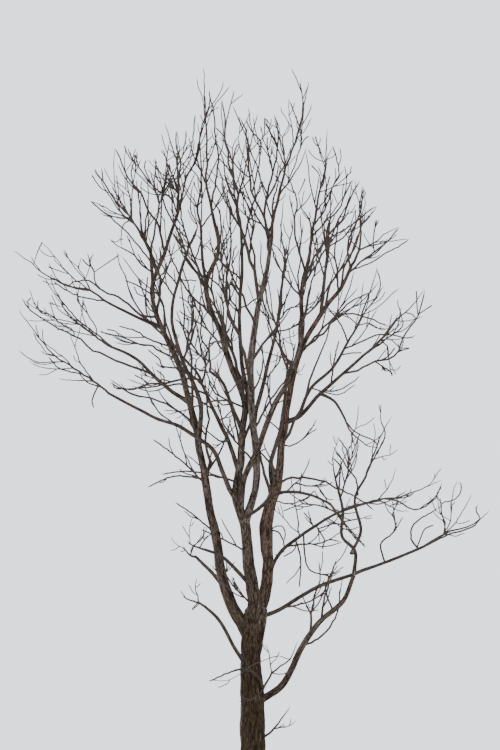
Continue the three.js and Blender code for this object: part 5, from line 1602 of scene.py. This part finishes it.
def grain_at(tree, place, fibre_count, mottle_count):
    """The bark grain's outputs at a place, with so many fibres and mottles to the metre."""
    values = {"Place": place, "Fibre Count": fibre_count, "Mottle Count": mottle_count}
    return node(tree, "ShaderNodeGroup", values, node_tree=bark_grain()).outputs


def finish_bark(tree, shader, colour, dulled_by, bumped_by, dull, bump):
    """Lead bark's colour, roughness and fine relief to its shader.

    dull is the roughness where dulled_by is 0 and where it is 1, and bump is the relief's strength and depth.
    """
    rough = node(tree, "ShaderNodeMapRange", {"Value": dulled_by, "To Min": dull[0], "To Max": dull[1]})
    bumped = node(tree, "ShaderNodeBump", {"Height": bumped_by, "Strength": bump[0], "Distance": bump[1]})
    tree.links.new(colour, shader.inputs["Base Color"])
    tree.links.new(rough.outputs[0], shader.inputs["Roughness"])
    tree.links.new(bumped.outputs[0], shader.inputs["Normal"])
    shader.inputs["Specular IOR Level"].default_value = BARK_SPECULAR


def bark_material(name, colours, ridge, pale_from=0.7, fibre_count=60.0):
    """Bark: dark in the furrows and lighter on the ridges, with pale patches.

    Where the wood is stout and low on the tree its ridges take the trunk's darker, warmer colour, which is painted
    shade from the leafy trees around it with a painted warm cast of the light their leaves reflect, and where it is
    thin all of it turns to twig bark.
    """
    if name in bpy.data.materials:
        return bpy.data.materials[name]
    material, tree, shader = new_material(name)
    height, thickness = carried(tree, "bark_height"), carried(tree, "thickness")
    grain = grain_at(tree, carried(tree, "bark_place", "Vector"), fibre_count, mottle_count=5.0)
    stands = product(tree, height, grain["Fibre"])
    place = node(tree, "ShaderNodeTexCoord").outputs["Object"]
    up = node(tree, "ShaderNodeSeparateXYZ", {"Vector": place}).outputs["Z"]
    # Painted shade: stout wood low on the tree takes the darker, warmer trunk ridge colour, standing for the shade and
    # the warm reflected light of the leafy trees around it
    stout, low = ramp(tree, thickness, *TRUNK_SHADE_RADII), ramp(tree, up, *TRUNK_SHADE_HEIGHTS)
    plates = blend(tree, product(tree, stout, low), tuple(ridge), tuple(colours.shaded_trunk_ridge))
    wood = blend(tree, ramp(tree, stands, *RIDGE_HEIGHTS), tuple(colours.crevice), plates)
    # Pale patches on the ridges, where the slow mottle is high
    pale_patches = product(tree, ramp(tree, grain["Mottle"], pale_from, 1.0), stands)
    wood = blend(tree, pale_patches, wood, tuple(colours.pale))
    wood = blend(tree, ramp(tree, thickness, *TWIG_RADII), tuple(colours.twig), wood)
    finish_bark(tree, shader, wood, grain["Fibre"], grain["Fibre"], dull=(0.98, 0.84), bump=(0.7, 0.006))
    return material


def twig_material(colours):
    """Twig bark: nearly black brown, a little lighter where the twig is thick and where slow noise has it."""
    name = "dark_twig_bark"
    if name in bpy.data.materials:
        return bpy.data.materials[name]
    material, tree, shader = new_material(name)
    place = node(tree, "ShaderNodeTexCoord").outputs["Object"]
    grain = grain_at(tree, place, fibre_count=70.0, mottle_count=1.2)
    thin = blend(tree, grain["Mottle"], tuple(colours.twig), tuple(colours.twig_light))
    wood = blend(tree, grain["Fibre"], tuple(colours.crevice), tuple(colours.ridge))
    colour = blend(tree, ramp(tree, carried(tree, "thickness"), *TWIG_RADII), thin, wood)
    finish_bark(tree, shader, colour, grain["Mottle"], grain["Fibre"], dull=(0.95, 0.8), bump=(0.5, 0.003))
    return material


def colour_property(name, description, default):
    """A colour that a user may change, as red, green, blue and a full alpha."""
    return bpy.props.FloatVectorProperty(
        name=name, description=description, default=(*default, 1.0), subtype="COLOR", size=4, min=0.0, max=1.0
    )


def length_property(name, description, default):
    """A length that a user may change."""
    return bpy.props.FloatProperty(
        name=name, description=description, default=default, min=0.0, unit="LENGTH"
    )


class BareTreeBark(bpy.types.PropertyGroup):
    """Sizes of the bark's relief."""

    furrow_depth: length_property("Furrow depth", "How deep the furrows are on the trunk", 0.022)
    furrow_width: length_property("Furrow width", "Distance between two furrows", 0.055)
    furrow_stretch: bpy.props.FloatProperty(
        name="Furrow stretch", description="How much longer than wide the ridges are", default=6.0, min=1.0
    )
    furrow_share: bpy.props.FloatProperty(
        name="Furrow share", description="Deepest furrow as a share of a limb's radius", default=0.12, min=0.0
    )
    lump_length: length_property("Lump length", "Distance along a limb between two swellings", 0.45)
    unevenness: bpy.props.FloatProperty(
        name="Unevenness", description="How far the wood swells, as a share of its radius", default=0.08,
        min=0.0,
    )
    limb_stray: bpy.props.FloatProperty(
        name="Limb stray", description="How far a limb bends off its path, as a share of its radius",
        default=0.35,
    )
    limb_side: length_property("Limb face", "Width of one face round a limb", 0.016)
    trunk_rings: bpy.props.IntProperty(
        name="Trunk rings", description="Rings up the trunk", default=300, min=20
    )
    trunk_sides: bpy.props.IntProperty(
        name="Trunk sides", description="Faces round the trunk", default=144, min=15
    )


class BareTreeColours(bpy.types.PropertyGroup):
    """Colours of the bark, the twigs and the stage."""

    # Painted shade: the trunk's ridges are drawn darker and warmer than the stems' for the shade and warm reflected
    # light of the leafy trees around it
    shaded_trunk_ridge: colour_property("Shaded trunk ridge", "Ridges of the trunk's bark, with painted shade", (0.043, 0.028, 0.015))
    ridge: colour_property("Ridge", "Ridges of the stems' and boughs' bark", (0.09, 0.067, 0.053))
    ridge_grey: colour_property("Grey ridge", "Ridges of the paler middle stem", (0.125, 0.1, 0.083))
    ridge_red: colour_property("Red ridge", "Ridges of the warmer right stem", (0.115, 0.074, 0.054))
    crevice: colour_property("Crevice", "Bark in its furrows", (0.01, 0.0065, 0.0035))
    # Pale patches on the ridges of the bark
    pale: colour_property("Pale patch", "Pale bark on the ridges", (0.17, 0.135, 0.105))
    twig: colour_property("Twig", "Bark of the twigs", (0.032, 0.024, 0.02))
    twig_light: colour_property("Light twig", "Bark of the lighter twigs", (0.06, 0.045, 0.037))
    floor: colour_property("Floor", "The pale floor", (0.8, 0.8, 0.79))
    sky: colour_property("Backdrop", "The pale light all round", (0.68, 0.71, 0.76))


class BareTreeStudio(bpy.types.PropertyGroup):
    """The studio's light."""

    sky_strength: bpy.props.FloatProperty(
        name="Backdrop strength", description="Strength of the light all round", default=2.7, min=0.0
    )
    key_strength: bpy.props.FloatProperty(
        name="Main light", description="Strength of the soft light from the upper left", default=1.6, min=0.0
    )
    key_softness: bpy.props.FloatProperty(
        name="Softness", description="Width of the main light", default=math.radians(50), subtype="ANGLE"
    )
    floor_radius: length_property("Floor radius", "Half the width of the floor", 90.0)


def settings():
    """The sizes and colours that the panel shows."""
    scene = bpy.context.scene
    return scene.bare_tree_bark, scene.bare_tree_colours, scene.bare_tree_studio


class BARETREE_OT_trunk(bpy.types.Operator):
    """Put the bark's relief on the trunk, from the flat cut at the ground to the fork"""

    bl_idname = "bare_tree.trunk"
    bl_label = "Trunk"

    def execute(self, context):
        bark, colours, _ = settings()
        material = bark_material("furrowed_bark", colours, colours.ridge, pale_from=0.82, fibre_count=45.0)
        piece("barked_trunk", trunk_surface(bark), material, "trunk_bark", ["trunk"])
        return {"FINISHED"}


class BARETREE_OT_limbs(bpy.types.Operator):
    """Put the bark's relief on the stems and boughs"""

    bl_idname = "bare_tree.limbs"
    bl_label = "Stems and boughs"

    def execute(self, context):
        bark, colours, _ = settings()
        plain = bark_material("bough_bark", colours, colours.ridge)
        finishes = {
            "centre_leader": bark_material("grey_stem_bark", colours, colours.ridge_grey, pale_from=0.4),
            "right_leader": bark_material("warm_stem_bark", colours, colours.ridge_red),
        }
        for name, *_ in LIMBS:
            piece("barked_" + name, limb_surface(name, bark), finishes.get(name, plain), "limb_bark", [name])
        return {"FINISHED"}


class BARETREE_OT_twigs(bpy.types.Operator):
    """Grow each mass of twigs again, carried on to finer twigs"""

    bl_idname = "bare_tree.twigs"
    bl_label = "Twigs"

    def execute(self, context):
        _, colours, _ = settings()
        material = twig_material(colours)
        for number, (name, _, _) in enumerate(MASSES):
            piece("fine_" + name, crown_surface(number), material, "twig_bark", [name])
        return {"FINISHED"}


class BARETREE_OT_side_boughs(bpy.types.Operator):
    """Grow the side boughs along the stems and boughs, with their twigs"""

    bl_idname = "bare_tree.side_boughs"
    bl_label = "Side boughs"

    def execute(self, context):
        _, colours, _ = settings()
        material = twig_material(colours)
        for number, name in enumerate(limbs()):
            surface = crown_surface(len(MASSES) + number)
            if surface:
                piece("side_boughs_" + name, surface, material, "twig_bark")
        return {"FINISHED"}


class BARETREE_OT_stage(bpy.types.Operator):
    """Lay the pale floor and set up the soft light and the camera"""

    bl_idname = "bare_tree.stage"
    bl_label = "Stage"

    def execute(self, context):
        _, colours, studio = settings()
        lay_floor(colours, studio)
        light_studio(colours, studio)
        place_camera()
        return {"FINISHED"}


def lay_floor(colours, studio):
    """A round floor at ground level: one face through points at the floor's radius round the origin."""
    cos, sin = turns(FLOOR_SIDES)
    rim = np.column_stack([cos, sin, np.zeros(FLOOR_SIDES)]) * studio.floor_radius
    mesh = bpy.data.meshes.new("floor")
    mesh.from_pydata(rim.tolist(), [], [list(range(FLOOR_SIDES))])
    material, _, shader = new_material("floor")
    shader.inputs["Base Color"].default_value = tuple(colours.floor)
    shader.inputs["Roughness"].default_value = 0.9
    mesh.materials.append(material)
    floor = bpy.data.objects.new("floor", mesh)
    bpy.context.scene.collection.objects.link(floor)
    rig.stage(floor)


def light_studio(colours, studio):
    """Pale light from all round, and one wide soft light from the upper left, in front of the tree."""
    world = bpy.data.worlds.new("studio")
    world.use_nodes = True
    backdrop = world.node_tree.nodes["Background"]
    backdrop.inputs["Color"].default_value = tuple(colours.sky)
    backdrop.inputs["Strength"].default_value = studio.sky_strength
    bpy.context.scene.world = world
    sun = bpy.data.lights.new("main_light", "SUN")
    sun.energy = studio.key_strength
    sun.angle = studio.key_softness
    lamp = bpy.data.objects.new("main_light", sun)
    lamp.rotation_euler = (LAMP_TILT, 0.0, LAMP_TURN)
    bpy.context.scene.collection.objects.link(lamp)


def place_camera():
    """The camera at the eye, tilted up along the gaze, its view as tall as the photograph's."""
    data = bpy.data.cameras.new("view")
    data.sensor_width = SENSOR_WIDTH
    data.lens = SENSOR_WIDTH * GAZE_LENGTH / VIEW_TALL
    data.clip_end = SIGHT_END
    camera = bpy.data.objects.new("view", data)
    camera.location = EYE + [VIEW_ACROSS, 0.0, 0.0]
    camera.rotation_euler = (math.pi / 2 + GAZE_TILT, 0.0, 0.0)
    bpy.context.scene.collection.objects.link(camera)
    bpy.context.scene.camera = camera


OPERATORS = [
    BARETREE_OT_trunk, BARETREE_OT_limbs, BARETREE_OT_side_boughs, BARETREE_OT_twigs, BARETREE_OT_stage,
]


class BARETREE_PT_panel(bpy.types.Panel):
    """The tree's pieces, and the sizes and colours that they are made with"""

    bl_idname = "BARETREE_PT_panel"
    bl_label = "Bare tree"
    bl_space_type = "VIEW_3D"
    bl_region_type = "UI"
    bl_category = "Bare tree"

    def draw(self, context):
        for operator in OPERATORS:
            self.layout.operator(operator.bl_idname)
        for group in settings():
            for name in group.__annotations__:
                self.layout.prop(group, name)


GROUPS = {
    "bare_tree_bark": BareTreeBark,
    "bare_tree_colours": BareTreeColours,
    "bare_tree_studio": BareTreeStudio,
}
CLASSES = [*GROUPS.values(), *OPERATORS, BARETREE_PT_panel]


def register():
    """Register the classes and put the property groups on the scene."""
    for kind in CLASSES:
        bpy.utils.register_class(kind)
    for name, kind in GROUPS.items():
        setattr(bpy.types.Scene, name, bpy.props.PointerProperty(type=kind))


def unregister():
    """Take the property groups off the scene and unregister the classes."""
    for name in GROUPS:
        delattr(bpy.types.Scene, name)
    for kind in reversed(CLASSES):
        bpy.utils.unregister_class(kind)


def main():
    """Make every piece and the stage, and write the boxes of the solids and of the visual model."""
    register()
    bpy.ops.bare_tree.trunk()
    bpy.ops.bare_tree.limbs()
    bpy.ops.bare_tree.side_boughs()
    bpy.ops.bare_tree.twigs()
    bpy.ops.bare_tree.stage()
    bpy.context.view_layer.update()
    low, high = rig.bounds()
    with open(SIZE_FILE, "w") as file:
        json.dump({"cad": [list(CAD_LOW), list(CAD_HIGH)], "visual": [list(low), list(high)]}, file)


if __name__ == "__main__":
    main()
